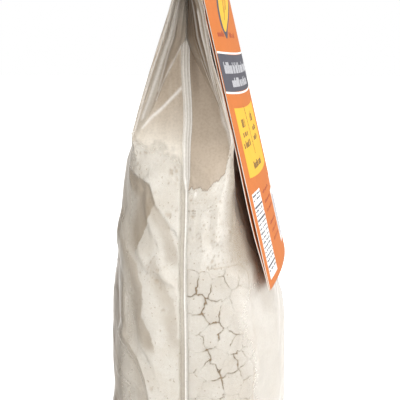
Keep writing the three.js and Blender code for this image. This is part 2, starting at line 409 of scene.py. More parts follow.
def tent(across, z, fold):
    """A crest along a line, sloping down evenly to nothing at its own width on each side."""
    height, left_width, right_width, points = fold
    distance, side = line_distance(across, z, points)
    width = np.where(side > 0, right_width, left_width)
    return height * np.clip(1 - np.sqrt(distance**2 + 0.05) / width, 0, 1)


# Folds beside the near seam: how high they stand, their width on the left and on the right, and the
# points of their crest, each as film from the seam towards the front, and height.
BODY_FOLDS = [
    (1.3, 1.2, 14, [
        (-29, 151), (-22.5, 148.5), (-16.5, 146.5), (-15, 141), (-13.5, 136), (-9, 130), (-6, 125),
    ]),
    (1.0, 3, 8, [(-18, 147), (-19, 131), (-15, 120)]),
    (1.1, 7, 6, [(-17, 136), (-10, 124), (-3, 114)]),
    (1.7, 12, 12, [(-47, 118), (-36, 112), (-28, 103), (-22, 92), (-20, 82)]),
    (1.3, 2.5, 7, [(-24, 111), (-18, 104.5), (-12, 103), (-8, 99)]),
    (1.1, 6, 3, [(-13, 112), (-9, 101), (-1.5, 89)]),
    (1.5, 2, 6, [(-43, 65), (-34, 62), (-27, 57), (-24, 52), (-21.5, 47), (-18, 36)]),
    (0.9, 5, 8, [(-23, 82), (-25, 74), (-21, 62)]),
    (0.9, 6, 6, [(-14, 70), (-16, 55), (-12, 40)]),
    (0.9, 8, 3, [(-37, 88), (-39, 76), (-36, 67)]),
    (0.6, 2, 6, [(-44, 43), (-34, 43.5), (-26, 40)]),
    (0.8, 5, 4, [(18, 120), (20, 136), (25, 157)]),
    (0.6, 2.5, 7, [(14, 121), (18, 118), (25, 120)]),
    (0.35, 4, 0.9, [(4.3, 148), (5.2, 130), (5.6, 119), (1, 118)]),
    (1.0, 9, 5, [(26, 101), (34, 97), (44, 102)]),
    (0.9, 6, 8, [(31, 80), (38, 64), (40, 44)]),
    (0.7, 8, 5, [(9, 133), (10, 112), (7, 104)]),
]


COARSE_FACETS = 14  # round the bag
FINE_FACETS = 31


def plate_relief(p, z):
    """The relief that film and flour share, outwards."""
    p = np.mod(p, ROUND)
    near, far = from_near_fold(p), from_far_fold(p)
    at_near_side = ease(np.abs(near), 48, 38)
    coarse = 1.5 * facets(p, z, ROUND / COARSE_FACETS, 11)
    fine = 0.6 * facets(p, z, ROUND / FINE_FACETS, 12)
    relief = coarse * (1 - 0.6 * at_near_side) + fine - 0.3
    for fold in BODY_FOLDS:
        relief = relief + 1.15 * tent(near, z, fold) + 0.9 * tent(-far, z * 0.94 + 4, fold)
    behind_card = ease(np.abs(round_trip(p)), 62, 42) * ease(z, 60, 90)
    relief = relief - behind_card * (0.4 * relief + 0.9)
    return (relief - 0.5) * band(z, 2, 22, 158, 178)


def seam_valley(p, z):
    """The pinch beside each fin seam, inwards."""
    total = 0.0
    for across in (from_near_fold(p), from_far_fold(p)):
        total = total + 0.9 * bell(across, -1.9, 0.9) + 0.9 * bell(across, 0, 8)
    return total * band(z, 3, 16, 148, 168)


# Where the flour's upper edge lies against the film: film from the near seam towards the front, and
# height; the rest of the way round it waves gently.
NEAR_LEVEL = [
    (-60, 163), (-30, 167), (-24, 171), (-17, 169), (-12, 170), (-5, 167), (-1.5, 160), (0, 146.5),
    (6, 145.5), (12, 145.5), (14, 148), (18.5, 150.5), (22.5, 154), (24.5, 160), (27, 162), (34, 157),
    (45, 150),
]


def smooth_level(p):
    """The height of the flour's upper edge against the film, without its small bumps."""
    near = from_near_fold(p)
    far_places = 158 + 5 * np.sin(p / ROUND * 4 * math.pi) + 3 * np.sin(p / ROUND * 14 * math.pi)
    here = np.interp(near, [place for place, _ in NEAR_LEVEL], [height for _, height in NEAR_LEVEL])
    level = mix(far_places, here, band(near, -60, -45, 30, 40))
    return level - 10 * ease(np.abs(round_trip(p)), 60, 20)


def flour_level(p):
    edge = flat_place(p, np.zeros_like(p))
    bumps = 3.6 * (fractal(edge, 4, 21, 4) - 0.5) + 1.6 * (noise(edge, 1.3, 25) - 0.5)
    return smooth_level(p) + bumps


# Middles of the caked flour's plates beside the near seam: from the seam to the front, and height.
PLATES = [
    (9.6, 98), (3.5, 98), (4.5, 87.5), (14, 84), (18, 95.5), (7, 109), (17, 107), (4.5, 77),
    (12.5, 71.5), (21, 82), (28, 76), (20.5, 68), (27.5, 65), (4.5, 68), (5.5, 59), (11, 53),
    (17.5, 59), (23, 55.5), (29.5, 57), (34.5, 61), (34.5, 50), (36, 71), (5, 46.5), (13, 43),
    (25, 45), (41, 55), (36, 40), (31, 88), (26, 101), (35, 99), (44, 97), (40, 85), (47, 75),
    (48, 62), (47, 47), (30, 112), (40, 110), (49, 86), (49, 108),
]
PLATE_SIZE = 10.5
PLATE_JITTER = 4.0


def plate_middles():
    """Middles of the plates all round: those above, and a jittered net elsewhere."""
    rng = np.random.default_rng(7)
    middles = [((NEAR_FOLD + across) % ROUND, height) for across, height in PLATES]
    columns = round(ROUND / PLATE_SIZE)
    for i in range(columns):
        for j in range(1, 16):
            place = (i + 0.5 * (j % 2)) * ROUND / columns + rng.uniform(-PLATE_JITTER, PLATE_JITTER)
            height = j * PLATE_SIZE + rng.uniform(-PLATE_JITTER, PLATE_JITTER)
            if not (-2 < from_near_fold(place) < 50 and 34 < height < 116):
                middles.append((place % ROUND, height))
    return np.array(middles)


MIDDLES = plate_middles()


def jagged(p, z):
    """Places shifted a little, so that the cracks between plates run unevenly."""

    def wander(seed):
        coarse, fine = cloud(p, z, 6, seed, 2), cloud(p, z, 1.8, seed + 4, 2)
        return 3.4 * (coarse - 0.5) + 2.0 * (fine - 0.5)

    return p + wander(31), z + wander(41)


def crack_presence(p, z):
    """Where the flour has caked and cracked, from 0 to 1."""
    near, far = from_near_fold(p), from_far_fold(p)
    beside_near_seam = band(near, 0.2, 2.0, 30, 42) * ease(z, 108, 98)
    away = ease(np.abs(near), 62, 70) * ease(np.abs(far), 1, 3)
    lumps = ease(cloud(p, z, 46, 61, 2), 0.50, 0.60)
    return np.maximum(beside_near_seam, away * lumps * ease(z, 136, 112)) * ease(z, 14, 24)


PLATE_LIMIT = 0.02  # plates end where the flour is less caked than this

# The widest cracks beside the near seam: film from the seam towards the front, and height.
WIDE_CRACKS = [
    [(1, 96), (6, 97), (10, 98), (11, 93), (14, 87), (15, 82)],
    [(4, 95), (7, 90), (9, 84)],
    [(14, 80), (17, 72), (21, 70), (27, 65)],
    [(21, 70), (27, 71)],
    [(12, 62), (14, 55), (17, 46), (24, 47)],
    [(26, 58), (28, 50)],
]


def has_plate(p, z):
    """1 where the nearest plate's middle is caked flour, so that a slab covers the place, else 0."""
    warped_p, warped_z = jagged(p, z)
    built = crack_presence(MIDDLES[:, 0], MIDDLES[:, 1]) > PLATE_LIMIT
    nearest = np.full(p.shape, 1e9)
    found = np.zeros(p.shape)
    for (middle_p, middle_z), is_built in zip(MIDDLES, built):
        distance = round_trip(warped_p - middle_p) ** 2 + (warped_z - middle_z) ** 2
        nearer = distance < nearest
        nearest = np.where(nearer, distance, nearest)
        found = np.where(nearer, float(is_built), found)
    return found


def crack_opening(p, z):
    """Half the width of the cracks; below nothing the plates touch."""
    place = flat_place(p, z)
    near = from_near_fold(p)
    main = np.zeros(p.shape)
    for points in WIDE_CRACKS:
        main = np.maximum(main, ease(line_distance(near, z, points)[0], 4.5, 2.0))
    elsewhere = ease(np.abs(near), 50, 60)
    wide = np.maximum(main, elsewhere * ease(fractal(place, 13, 64, 2), 0.42, 0.72))
    hairline = ease(fractal(place, 7, 69, 2), 0.50, 0.60)
    crumble = 0.30 * (noise(place, 0.9, 66) - 0.5)
    return (0.22 * wide + 0.10 * hairline - 0.06 + crumble * (0.3 + 0.7 * wide)) * crack_presence(p, z)


# ---- Mesh helpers ----


BASE_SHARES = (0.35, 0.7, 0.92)
BASE_RINGS = len(BASE_SHARES)


def make_object(name, vertices, faces, slot, *materials, smooth_faces=True):
    mesh = bpy.data.meshes.new(name)
    mesh.from_pydata((np.asarray(vertices) * MM).tolist(), [], faces)
    mesh.polygons.foreach_set("use_smooth", [smooth_faces] * len(mesh.polygons))
    mesh.update()
    for material in materials:
        mesh.materials.append(material)
    piece = bpy.data.objects.new(name, mesh)
    bpy.context.scene.collection.objects.link(piece)
    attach(piece, "root")
    return piece


def closed_loft(rings):
    """Vertices and faces of a surface through rings (rows, columns, 3), closed by a fan at each end."""
    rows, columns, _ = rings.shape
    last = (rows - 1) * columns
    low, high = last + columns, last + columns + 1
    faces = []
    for r in range(rows - 1):
        for c in range(columns):
            a, b = r * columns + c, r * columns + (c + 1) % columns
            faces.append((a, b, b + columns, a + columns))
    for c in range(columns):
        d = (c + 1) % columns
        faces.append((low, d, c))
        faces.append((high, last + c, last + d))
    ends = np.stack([rings[0].mean(axis=0), rings[-1].mean(axis=0)])
    return np.concatenate([rings.reshape(-1, 3), ends]), faces


def base_rings(lowest):
    """Rings inside the lowest one, for a flat base."""
    return np.stack([mix(lowest.mean(axis=0), lowest, share) for share in BASE_SHARES])


def add_value(piece, name, parts):
    """Stores a number for each vertex, from a list of arrays, for the material to read."""
    attribute = piece.data.attributes.new(name, "FLOAT", "POINT")
    attribute.data.foreach_set("value", np.concatenate(parts).astype(np.float32))


def slab(points, normals, thickness):
    """A closed thin slab on a grid of points (rows, columns, 3), standing out along the normals."""
    rows, columns, _ = points.shape
    count = rows * columns
    vertices = np.concatenate([(points + normals * thickness).reshape(-1, 3), points.reshape(-1, 3)])
    faces = []
    for r in range(rows - 1):
        for c in range(columns - 1):
            a = r * columns + c
            corners = (a, a + 1, a + columns + 1, a + columns)
            faces.append(corners)
            faces.append(tuple(count + corners[i] for i in (0, 3, 2, 1)))
    edge = list(range(columns))
    edge += [r * columns + columns - 1 for r in range(1, rows)]
    edge += [(rows - 1) * columns + c for c in range(columns - 2, -1, -1)]
    edge += [r * columns for r in range(rows - 2, 0, -1)]
    for a, b in zip(edge, edge[1:] + edge[:1]):
        faces.append((a, count + a, count + b, b))
    return vertices, faces


def left_of(line):
    """Unit vectors to the left of a line of flat points."""
    along = np.gradient(line, axis=0)
    normal = np.stack([-along[:, 1], along[:, 0]], axis=-1)
    return normal / np.linalg.norm(normal, axis=-1, keepdims=True)


def joined(parts):
    """Several (vertices, faces) as one."""
    vertices, faces, start = [], [], 0
    for part_vertices, part_faces in parts:
        vertices.append(part_vertices)
        faces += [tuple(start + i for i in face) for face in part_faces]
        start += len(part_vertices)
    return np.concatenate(vertices), faces


# ---- Material helpers ----


class Shade:
    """The nodes of a material or a world, with short calls to add them."""

    def __init__(self, owner, output="OutputMaterial"):
        self.owner = owner
        owner.use_nodes = True
        self.tree = owner.node_tree
        self.tree.nodes.clear()
        self.output = self.node(output)

    def node(self, kind, settings=None, **inputs):
        made = self.tree.nodes.new("ShaderNode" + kind)
        for key, value in (settings or {}).items():
            setattr(made, key, value)
        for key, value in inputs.items():
            self.feed(made.inputs[key.replace("_", " ")], value)
        return made

    def feed(self, socket, value):
        if hasattr(value, "is_output"):
            self.tree.links.new(value, socket)
        elif isinstance(value, (tuple, list)) and len(value) == 3 and socket.type == "RGBA":
            socket.default_value = (*value, 1.0)
        else:
            socket.default_value = value

    def math(self, operation, a, b=0.0, clamp=False):
        made = self.node("Math", {"operation": operation, "use_clamp": clamp})
        self.feed(made.inputs[0], a)
        self.feed(made.inputs[1], b)
        return made.outputs[0]

    def range(self, value, low, high, to_low=0.0, to_high=1.0):
        limits = {"From_Min": low, "From_Max": high, "To_Min": to_low, "To_Max": to_high}
        settings = {"interpolation_type": "SMOOTHSTEP"}
        return self.node("MapRange", settings, Value=value, **limits).outputs[0]

    def blend(self, factor, a, b):
        made = self.node("Mix", {"data_type": "RGBA"})
        for socket, value in ((0, factor), (6, a), (7, b)):
            self.feed(made.inputs[socket], value)
        return made.outputs[2]

    def tinted(self, base, mask, amount, colour):
        """The base colour with some of another where the mask is 1."""
        return self.blend(self.math("MULTIPLY", mask, amount), base, colour)

    def place(self, scale=(1.0, 1.0, 1.0)):
        """The object's own coordinates in millimetres, stretched by scale."""
        own = self.node("TexCoord").outputs["Object"]
        return self.node("Mapping", Vector=own, Scale=[s / MM for s in scale]).outputs[0]

    def noise(self, size, detail=2.0, scale=(1.0, 1.0, 1.0), roughness=0.5):
        place = self.place(scale)
        settings = {"Vector": place, "Scale": 1 / size, "Detail": detail, "Roughness": roughness}
        return self.node("TexNoise", **settings).outputs[0]

    def value(self, name):
        return self.node("Attribute", {"attribute_name": name}).outputs["Fac"]

    def bump(self, height, strength, distance, **under):
        """A bump of some strength and depth in millimetres, over another Normal where one is given."""
        depth = distance * MM
        return self.node("Bump", Height=height, Strength=strength, Distance=depth, **under).outputs[0]

    def solid(self, colour, roughness, normal, **more):
        return self.node("BsdfPrincipled", Base_Color=colour, Roughness=roughness, Normal=normal, **more)

    def join(self, kind, *parts):
        """A shader that mixes or adds others, its inputs in order."""
        made = self.node(kind)
        for socket, part in zip(made.inputs, parts):
            self.feed(socket, part.outputs[0] if hasattr(part, "outputs") else part)
        return made

    def finish(self, shader):
        self.tree.links.new(shader.outputs[0], self.output.inputs["Surface"])
        return self.owner


def new_shade(name):
    return Shade(bpy.data.materials.new(name))


# ---- Materials ----

FLOUR_LIGHT = (0.90, 0.885, 0.845)
FLOUR_WARM = (0.74, 0.68, 0.59)
FLOUR_GRIT = (0.80, 0.77, 0.715)
# Pressed flour, also used as painted shade.
FLOUR_PRESSED_AND_PAINTED_SHADE = (0.48, 0.405, 0.315)
# Painted shade in the flour's hollows.
FLOUR_CRACK_PAINTED_SHADE = (0.50, 0.39, 0.27)
FLOUR_SPECK = (0.42, 0.33, 0.23)
DUST_PALE = (0.80, 0.76, 0.68)
# Painted shade on the film's dust: tan, and the brown of the deep fold.
DUST_TAN_PAINTED_SHADE = (0.42, 0.35, 0.275)
DUST_BROWN_PAINTED_SHADE = (0.10, 0.065, 0.04)
# Whitened film, also a painted highlight on the creases.
FILM_WHITE_AND_HIGHLIGHT = (0.90, 0.89, 0.87)
CARD_ORANGE = (0.61, 0.185, 0.045)
CARD_CORE = (0.80, 0.76, 0.70)
WIRE_LIGHT = (0.60, 0.61, 0.63)
WIRE_DARK = (0.45, 0.46, 0.48)
FLOOR_LIGHT = (0.90, 0.90, 0.90)
FLOOR_DARK = (0.88, 0.88, 0.88)


def flour_material():
    shade = new_shade("flour")
    patches = shade.range(shade.noise(13, 4), 0.38, 0.70)
    speckle = shade.range(shade.noise(0.8, 2), 0.60, 0.72)
    specks = shade.range(shade.noise(1.3, 1), 0.70, 0.76)
    base = shade.tinted(FLOUR_LIGHT, patches, 0.35, FLOUR_WARM)
    base = shade.tinted(base, speckle, 0.40, FLOUR_WARM)
    grit = shade.range(shade.noise(1.5, 4, roughness=0.75), 0.38, 0.62)
    base = shade.tinted(base, grit, 0.45, FLOUR_GRIT)
    # The pressed value darkens pressed flour and random patches, and paints shade: the card's shadow, the
    # near back edge and the unlit side of crests.
    base = shade.blend(shade.value("pressed"), base, FLOUR_PRESSED_AND_PAINTED_SHADE)
    base = shade.tinted(base, specks, 0.6, FLOUR_SPECK)
    # The crack value paints shade in the cracks, the pits and the groove beside the seam, and adds random
    # darker spots on the mound.
    base = shade.blend(shade.value("crack"), base, FLOUR_CRACK_PAINTED_SHADE)
    grains = shade.bump(shade.noise(0.9, 4, roughness=0.75), 1.0, 0.5)
    lumps = shade.bump(shade.noise(2.4, 3), 0.35, 0.6, Normal=grains)
    return shade.finish(shade.solid(base, 0.92, lumps, Specular_IOR_Level=0.15))


def film_material(name, haze, gloss_roughness):
    """Clear film: see-through, with a haze of flour dust inside it and a soft gloss.
    The dust's tan and brown are painted shade; its white is whitened film, partly painted highlight on
    the creases.
    """
    shade = new_shade(name)
    # The tone paints shade on the dust: tan, then brown in the deep fold.
    dust_and_shade_tone = shade.value("dust_and_shade_tone")
    pale = shade.range(dust_and_shade_tone, 0.0, 0.5)
    deep = shade.range(dust_and_shade_tone, 0.45, 1.0)
    colour = shade.blend(deep, shade.blend(pale, DUST_PALE, DUST_TAN_PAINTED_SHADE), DUST_BROWN_PAINTED_SHADE)
    colour = shade.blend(shade.value("white"), colour, FILM_WHITE_AND_HIGHLIGHT)
    powder = shade.range(shade.noise(1.1, 3), 0.30, 0.75, 1.0, 0.86)
    dust = shade.math("MULTIPLY", shade.value("dust"), powder)
    cover = shade.math("ADD", dust, haze, clamp=True)
    wrinkle = shade.bump(shade.noise(7, 3, scale=(1.0, 1.0, 0.5)), 0.22, 0.8)
    fine = shade.bump(shade.noise(0.8, 2), 0.25, 0.12, Normal=wrinkle)
    clear = shade.node("BsdfTransparent", Color=(0.98, 0.978, 0.972))
    milky = shade.node("BsdfDiffuse", Color=colour, Normal=fine)
    body = shade.join("MixShader", cover, clear, milky)
    gloss = shade.node("BsdfGlossy", Color=(1.0, 1.0, 1.0), Roughness=gloss_roughness, Normal=wrinkle)
    fresnel = shade.node("Fresnel", IOR=1.30, Normal=wrinkle)
    return shade.finish(shade.join("MixShader", fresnel, body, gloss))


def board_material(name, colour, variation=0.05):
    """Printed board: a slight mottle, the faint tooth of the paper and a soft sheen."""
    shade = new_shade(name)
    mottle = shade.range(shade.noise(6, 3), 0.3, 0.7)
    darker = tuple(channel * (1 - 2 * variation) for channel in colour)
    base = shade.blend(mottle, colour, darker)
    tooth = shade.bump(shade.noise(0.25, 2), 0.08, 0.05)
    return shade.finish(shade.solid(base, 0.6, tooth, Specular_IOR_Level=0.2))


def wire_material():
    shade = new_shade("staple_wire")
    drawn = shade.bump(shade.noise(0.3, 2, scale=(0.1, 1.0, 1.0)), 0.2, 0.03)
    tint = shade.blend(shade.noise(1.5, 2), WIRE_LIGHT, WIRE_DARK)
    return shade.finish(shade.solid(tint, 0.32, drawn, Metallic=1.0))


# ---- The film ----


# Film between two columns of points: on the near gusset's side, on the far one's and on the panels.
FILM_STEPS = (0.60, 1.3, 1.9)
FLOUR_STEPS = (0.55, 1.1, 1.7)
# Height between two rows of points.
FILM_BODY_ROW = 1.3
FILM_GABLE_ROW = 0.95
FILM_SEAL_ROW = 0.6
FLOUR_ROW = 0.76
FINE_REACH = 46  # how far the finer grid runs on each side of a gusset's centre fold


def places_round(near_step, far_step, panel_step):
    """Places round the bag, closest together on the near gusset side and widest apart on the panels."""
    places = []
    for fold, step in ((FAR_FOLD, far_step), (NEAR_FOLD, near_step)):
        places += list(np.arange(fold - FINE_REACH, fold + FINE_REACH, step))
        places += list(np.arange(fold + FINE_REACH, fold + 2 * QUARTER - FINE_REACH, panel_step))
    return np.mod(np.array(places), ROUND)


def heights_up(start, end, step):
    return list(np.linspace(start, end, max(2, round((end - start) / step) + 1)))


def gusset_across(p):
    """From the nearer gusset's centre fold: minus towards its left leaf, seen from outside."""
    near, far = from_near_fold(p), from_far_fold(p)
    return np.where(np.abs(near) < np.abs(far), near, far)


def fanned(p, z, width, length, side_step, layer=0.0):
    """Places for streaks that run up a gusset and draw together towards the neck."""
    side = np.where(np.mod(p, ROUND) < 2 * QUARTER, side_step, 0.0)
    fan = 1.0 + 0.9 * ramp(z, SHOULDER_Z, NECK_Z)
    return np.stack([gusset_across(p) * fan / width + side, z / length, np.full(p.shape, layer)], axis=-1)


def wing_ripples(p, z):
    """Soft upright ripples in the film of the gable, outwards."""
    broad, narrow = fanned(p, z, 6.0, 60.0, 40.0), fanned(p, z, 2.2, 40.0, 40.0, 1.0)
    ripple = 1.1 * (noise(broad, 1.0, 71) - 0.5) + 0.4 * (noise(narrow, 1.0, 72) - 0.5)
    panel = 2.0 * (cloud(p, z * 0.3, 13, 73) - 0.5)
    ripple = mix(ripple, panel, ease(np.abs(gusset_across(p)), 30, 42))
    return ripple * band(z, SHOULDER_Z - 8, SHOULDER_Z + 18, NECK_Z - 18, NECK_Z)


# Sharp creases in the film over the headspace, in the same terms as the folds of the body.
HEADSPACE_FOLDS = [
    (0.8, 1.0, 1.0, [(-18.5, 172.5), (-15, 177), (-9, 183.5), (-2, 191)]),
    (0.7, 1.0, 1.0, [(-14, 186), (-10.5, 194), (-6, 203), (-2, 211)]),
    (0.6, 1.2, 1.2, [(-23, 172), (-23.5, 195), (-21, 232)]),
    (0.6, 1.2, 1.6, [(-20, 177), (-16, 200), (-11, 236)]),
    (0.6, 1.0, 1.0, [(-14, 190), (-12.5, 210), (-9.5, 232)]),
    (0.8, 1.3, 1.1, [(24.5, 162.5), (21, 172), (19.3, 181), (20.5, 192), (21, 209), (18.5, 226)]),
    (0.7, 1.1, 1.1, [(23.5, 166), (23, 190), (23, 215), (21, 238)]),
    (0.6, 1.2, 1.2, [(23.5, 163), (16.5, 176), (14, 190), (13, 204)]),
    (0.5, 1.1, 1.1, [(17, 186), (17, 206), (14.5, 232)]),
    (0.6, 1.4, 1.4, [(28, 166), (33, 190), (36, 225)]),
]


def headspace_creases(p, z):
    """The height of the sharp creases in the film of the gable."""
    across = gusset_across(p)
    total = np.zeros(p.shape)
    for fold in HEADSPACE_FOLDS:
        total = np.maximum(total, tent(across, z, fold))
    return total


def film_creases(p, z):
    """Thin raised creases where the slack film has folded over itself, outwards."""
    total = 0.0
    for k, slope in enumerate((0.62, -0.85, 1.6)):
        layer = np.full(p.shape, float(k))
        along = np.stack([(p + slope * z) / 17.0, (z - slope * p) / 60.0, layer], axis=-1)
        strength = ease(cloud(p, z, 30, 91 + k, 2), 0.52, 0.68)
        total = total + strength * bell(noise(along, 1.0, 81 + k), 0.5, 0.035)
    return 0.3 * total * band(z, 8, 30, 165, 178)


def film_relief(p, z):
    relief = plate_relief(p, z) - seam_valley(p, z) + film_creases(p, z)
    return relief + wing_ripples(p, z) + 0.55 * headspace_creases(p, z)


CRIMP_HEIGHT = 0.16
CRIMP_PITCH = 1.9


def crimp(z):
    """The ribs that the heated jaws left in the seal, outwards."""
    ribs = CRIMP_HEIGHT * np.cos(2 * math.pi * (z - NECK_Z) / CRIMP_PITCH)
    return ribs * band(z, NECK_Z + 5, NECK_Z + 7, TOP_Z - 5, TOP_Z - 3)


def upright_streaks(p, z, width, seed):
    """Narrow streaks along the film's height beside the gussets, from 0 to 1; softer on the panels."""
    streaks = ease(fractal(fanned(p, z, width, 34.0, 60.0), 1.0, seed, 2), 0.38, 0.66)
    soft = cloud(p, z * 0.35, 9, seed + 5)
    return mix(streaks, soft, ease(np.abs(gusset_across(p)), 30, 40))


# Where the clearer wings begin on each side of the fold, at some heights.
WING_HEIGHTS = [160, 168, 180, 186, 209, 225, 245]
LEFT_WING = [-24, -21, -16, -13.5, -9.5, -9, -8]
RIGHT_WING = [25, 23, 19.5, 20, 21, 18.5, 15]
# How brown the dust is painted on each side of the fold, at some heights: painted shade, deeper upwards
# and on the right, where the card shades the fold.
TONE_HEIGHTS = [145, 165, 176, 186, 209, 225, 240]
LEFT_DUST_AND_SHADE = [0.05, 0.13, 0.31, 0.42, 0.42, 0.24, 0.46]
RIGHT_DUST_AND_SHADE = [0.44, 0.50, 0.56, 0.62, 0.80, 0.97, 1.00]


def on_wing_amount(p, z):
    """From 0 in the middle of a gusset to 1 on its wings and on the panels."""
    across = gusset_across(p)
    left, right = np.interp(z, WING_HEIGHTS, LEFT_WING), np.interp(z, WING_HEIGHTS, RIGHT_WING)
    return np.maximum(ease(across - left, 1.5, -1.5), ease(across - right, -1.5, 1.5))


def loose_front(p, z):
    """Where the film hangs white and loose over the flour, below the card's near edge, from 0 to 1."""
    near = from_near_fold(p)
    slope = near + 0.35 * (z - 60) + 6 * (cloud(p, z, 14, 187) - 0.5)
    return ease(slope, 22, 34) * ease(near, 90, 75) * band(z, 6, 20, 84, 104)


def back_edge(p, z):
    """Where the film runs over the near back edge of the filled bag, from 0 to 1."""
    near = from_near_fold(p) + 5 * (cloud(p, z, 16, 189, 2) - 0.5)
    return band(near, -94, -74, -53, -42) * ease(z, 150, 120)


def dust_amount(p, z):
    """How much flour dust clings to the inside of the film: thick above the flour, thin on the wings."""
    across = gusset_across(p)
    over = z - flour_level(p)
    blurred = band(from_near_fold(p), -60, -50, -2, 2)
    cloudy = 0.985 * ease(over + 7 * (cloud(p, z, 3.5, 103) - 0.5), -9, -2.5)
    above = mix(ease(over, -2.5, -1.0), cloudy, blurred)
    streaks = upright_streaks(p, z, 1.7, 171)
    in_gusset = 0.985 - 0.02 * streaks
    on_wing = 0.66 + 0.22 * streaks
    on_panel = mix(0.90, 0.58, ease(z, 168, 195)) + 0.25 * streaks
    amount = mix(in_gusset, on_wing, on_wing_amount(p, z))
    amount = mix(amount, on_panel, ease(np.abs(across), GUSSET - 1, GUSSET + 4))
    lump = cloud(p, z, 8, 101) - 0.5
    headspace = above * np.clip(amount * (1 + 0.08 * lump), 0, 1) * ease(z, NECK_Z + 6, NECK_Z)
    edge_gap = band(reach_of(p), 12, 26, 60, 76) * ease(z, 10, 30)
    haze = 0.12 + 0.16 * cloud(p, z * 0.5, 12, 183) + 0.10 * upright_streaks(p, z, 4.5, 181)
    # The extra dust along the near back edge carries its painted shade.
    on_edge = edge_gap * (haze + 0.34 * back_edge(p, z))
    below = (on_edge + 0.09 * loose_front(p, z) + 0.45 * bell(across, -1.2, 1.6)) * (1 - above)
    return np.clip(headspace + below + 0.5 * headspace_creases(p, z) * (1 - headspace), 0, 1)


def dust_tone_and_painted_shade(p, z):
    """From 0, pale dust, to 1, the brown painted shade of the deep folds."""
    across = gusset_across(p)
    left, right = np.interp(z, TONE_HEIGHTS, LEFT_DUST_AND_SHADE), np.interp(z, TONE_HEIGHTS, RIGHT_DUST_AND_SHADE)
    rightwards = mix(ease(across, -1.5, 1.5), 0.5, ease(np.abs(across), 35, 85))
    deep = mix(left, right, rightwards)
    patches = 0.10 * (cloud(p, z, 13, 195) - 0.5)
    streaks = 0.20 * (upright_streaks(p, z, 2.3, 191) - 0.5) * ease(z, 170, 195)
    on_wing = on_wing_amount(p, z)
    wing_tone = 0.24 * deep + mix(0.21, 0.26, rightwards)
    dust_and_shade_tone = mix(deep + patches, wing_tone, on_wing) + streaks * mix(0.4, 1.0, on_wing)
    # Painted shade along the near back edge.
    return np.clip(dust_and_shade_tone + 0.55 * back_edge(p, z), 0, 1)


def build_film(material):
    p = places_round(*FILM_STEPS)
    heights = [0.0, 0.3, 0.9, 1.8, 3.0, 4.5, 6.2, 8.0, 10.0]
    heights += heights_up(12, 140, FILM_BODY_ROW)
    heights += heights_up(141, NECK_Z - 0.5, FILM_GABLE_ROW) + [NECK_Z]
    heights += heights_up(NECK_Z + 1.2, TOP_Z, FILM_SEAL_ROW)
    grid_p, grid_z = np.meshgrid(p, np.array(heights))
    in_seal = grid_z > NECK_Z
    out = np.where(in_seal, crimp(grid_z), film_relief(grid_p, grid_z))
    points = on_film(grid_p, grid_z, out)
    points[in_seal, 2] = grid_z[in_seal]
    vertices, faces = closed_loft(np.concatenate([base_rings(points[0]), points]))
    film = make_object("film", vertices, faces, "film", material)
    # White on the creases, crease whitening with painted highlight, and on the loose film below the card.
    crease = np.clip(1.1 * headspace_creases(grid_p, grid_z), 0, 1) * ease(grid_z, NECK_Z, NECK_Z - 20)
    crease = np.maximum(crease, 0.5 * loose_front(grid_p, grid_z))
    values = {"dust": dust_amount(grid_p, grid_z), "dust_and_shade_tone": dust_tone_and_painted_shade(grid_p, grid_z), "white": crease}
    for name, amount in values.items():
        add_value(film, name, [np.zeros(BASE_RINGS * len(p)), amount.ravel(), np.zeros(2)])
    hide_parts("flour_bag")


# ---- The flour ----

RIM_HEIGHT = 4.0  # the uneven part of the flour's upper edge
EVEN_Z = 132.0  # up to here the rows are level, above it they bend to the upper edge
BENT_ROWS = 33
RIM_ROWS = 8
MOUND_TOP = np.array([0.0, 4.0, 6.0])  # from the middle of the upper edge
MOUND_ROWS = 12
FLOUR_GAP = 0.35  # between the film and the flour that is pressed against it
CRACK_DEPTH = 0.9
GRAIN_SEED = 121  # the same for the core and the plates
# Round pits in loose flour: size of their net, seed, depth, and share of places with one.
PITS = [(1.9, 131, 1.0, 0.26), (3.6, 132, 0.8, 0.16), (1.2, 134, 0.7, 0.30)]

# Where the flour is pressed smooth and darker, with painted shade on the side of a crest away from the
# light, on one side of a line: strength, width of the patch, its side of the line and the line's points,
# from the near seam towards the front, and height.
PRESSED_AND_PAINTED_SHADE = [
    (0.85, 16, -1, [
        (-30, 151.5), (-22.5, 148.5), (-16.5, 146.5), (-15, 141), (-14, 137.5), (-17, 131), (-22, 122),
    ]),
    (0.40, 7, -1, [(-14, 137), (-9, 130), (-5, 120), (-4, 112)]),
    (0.60, 13, -1, [(-48, 118), (-36, 112), (-26, 106), (-21.5, 93), (-22, 80), (-19, 72)]),
    (0.40, 10, -1, [(-43, 65), (-34, 62), (-27, 57), (-24, 52), (-21.5, 47), (-19, 36)]),
    (0.30, 9, -1, [(-12, 104), (-9, 96), (-4, 86), (-3, 70)]),
    (0.35, 5, 1, [(-5, 66), (-3.4, 50), (-3.4, 30)]),
    (0.30, 8, -1, [(-37, 88), (-39, 76), (-36, 67)]),
    (0.35, 7, -1, [(-24, 36), (-19, 30), (-14, 22)]),
]


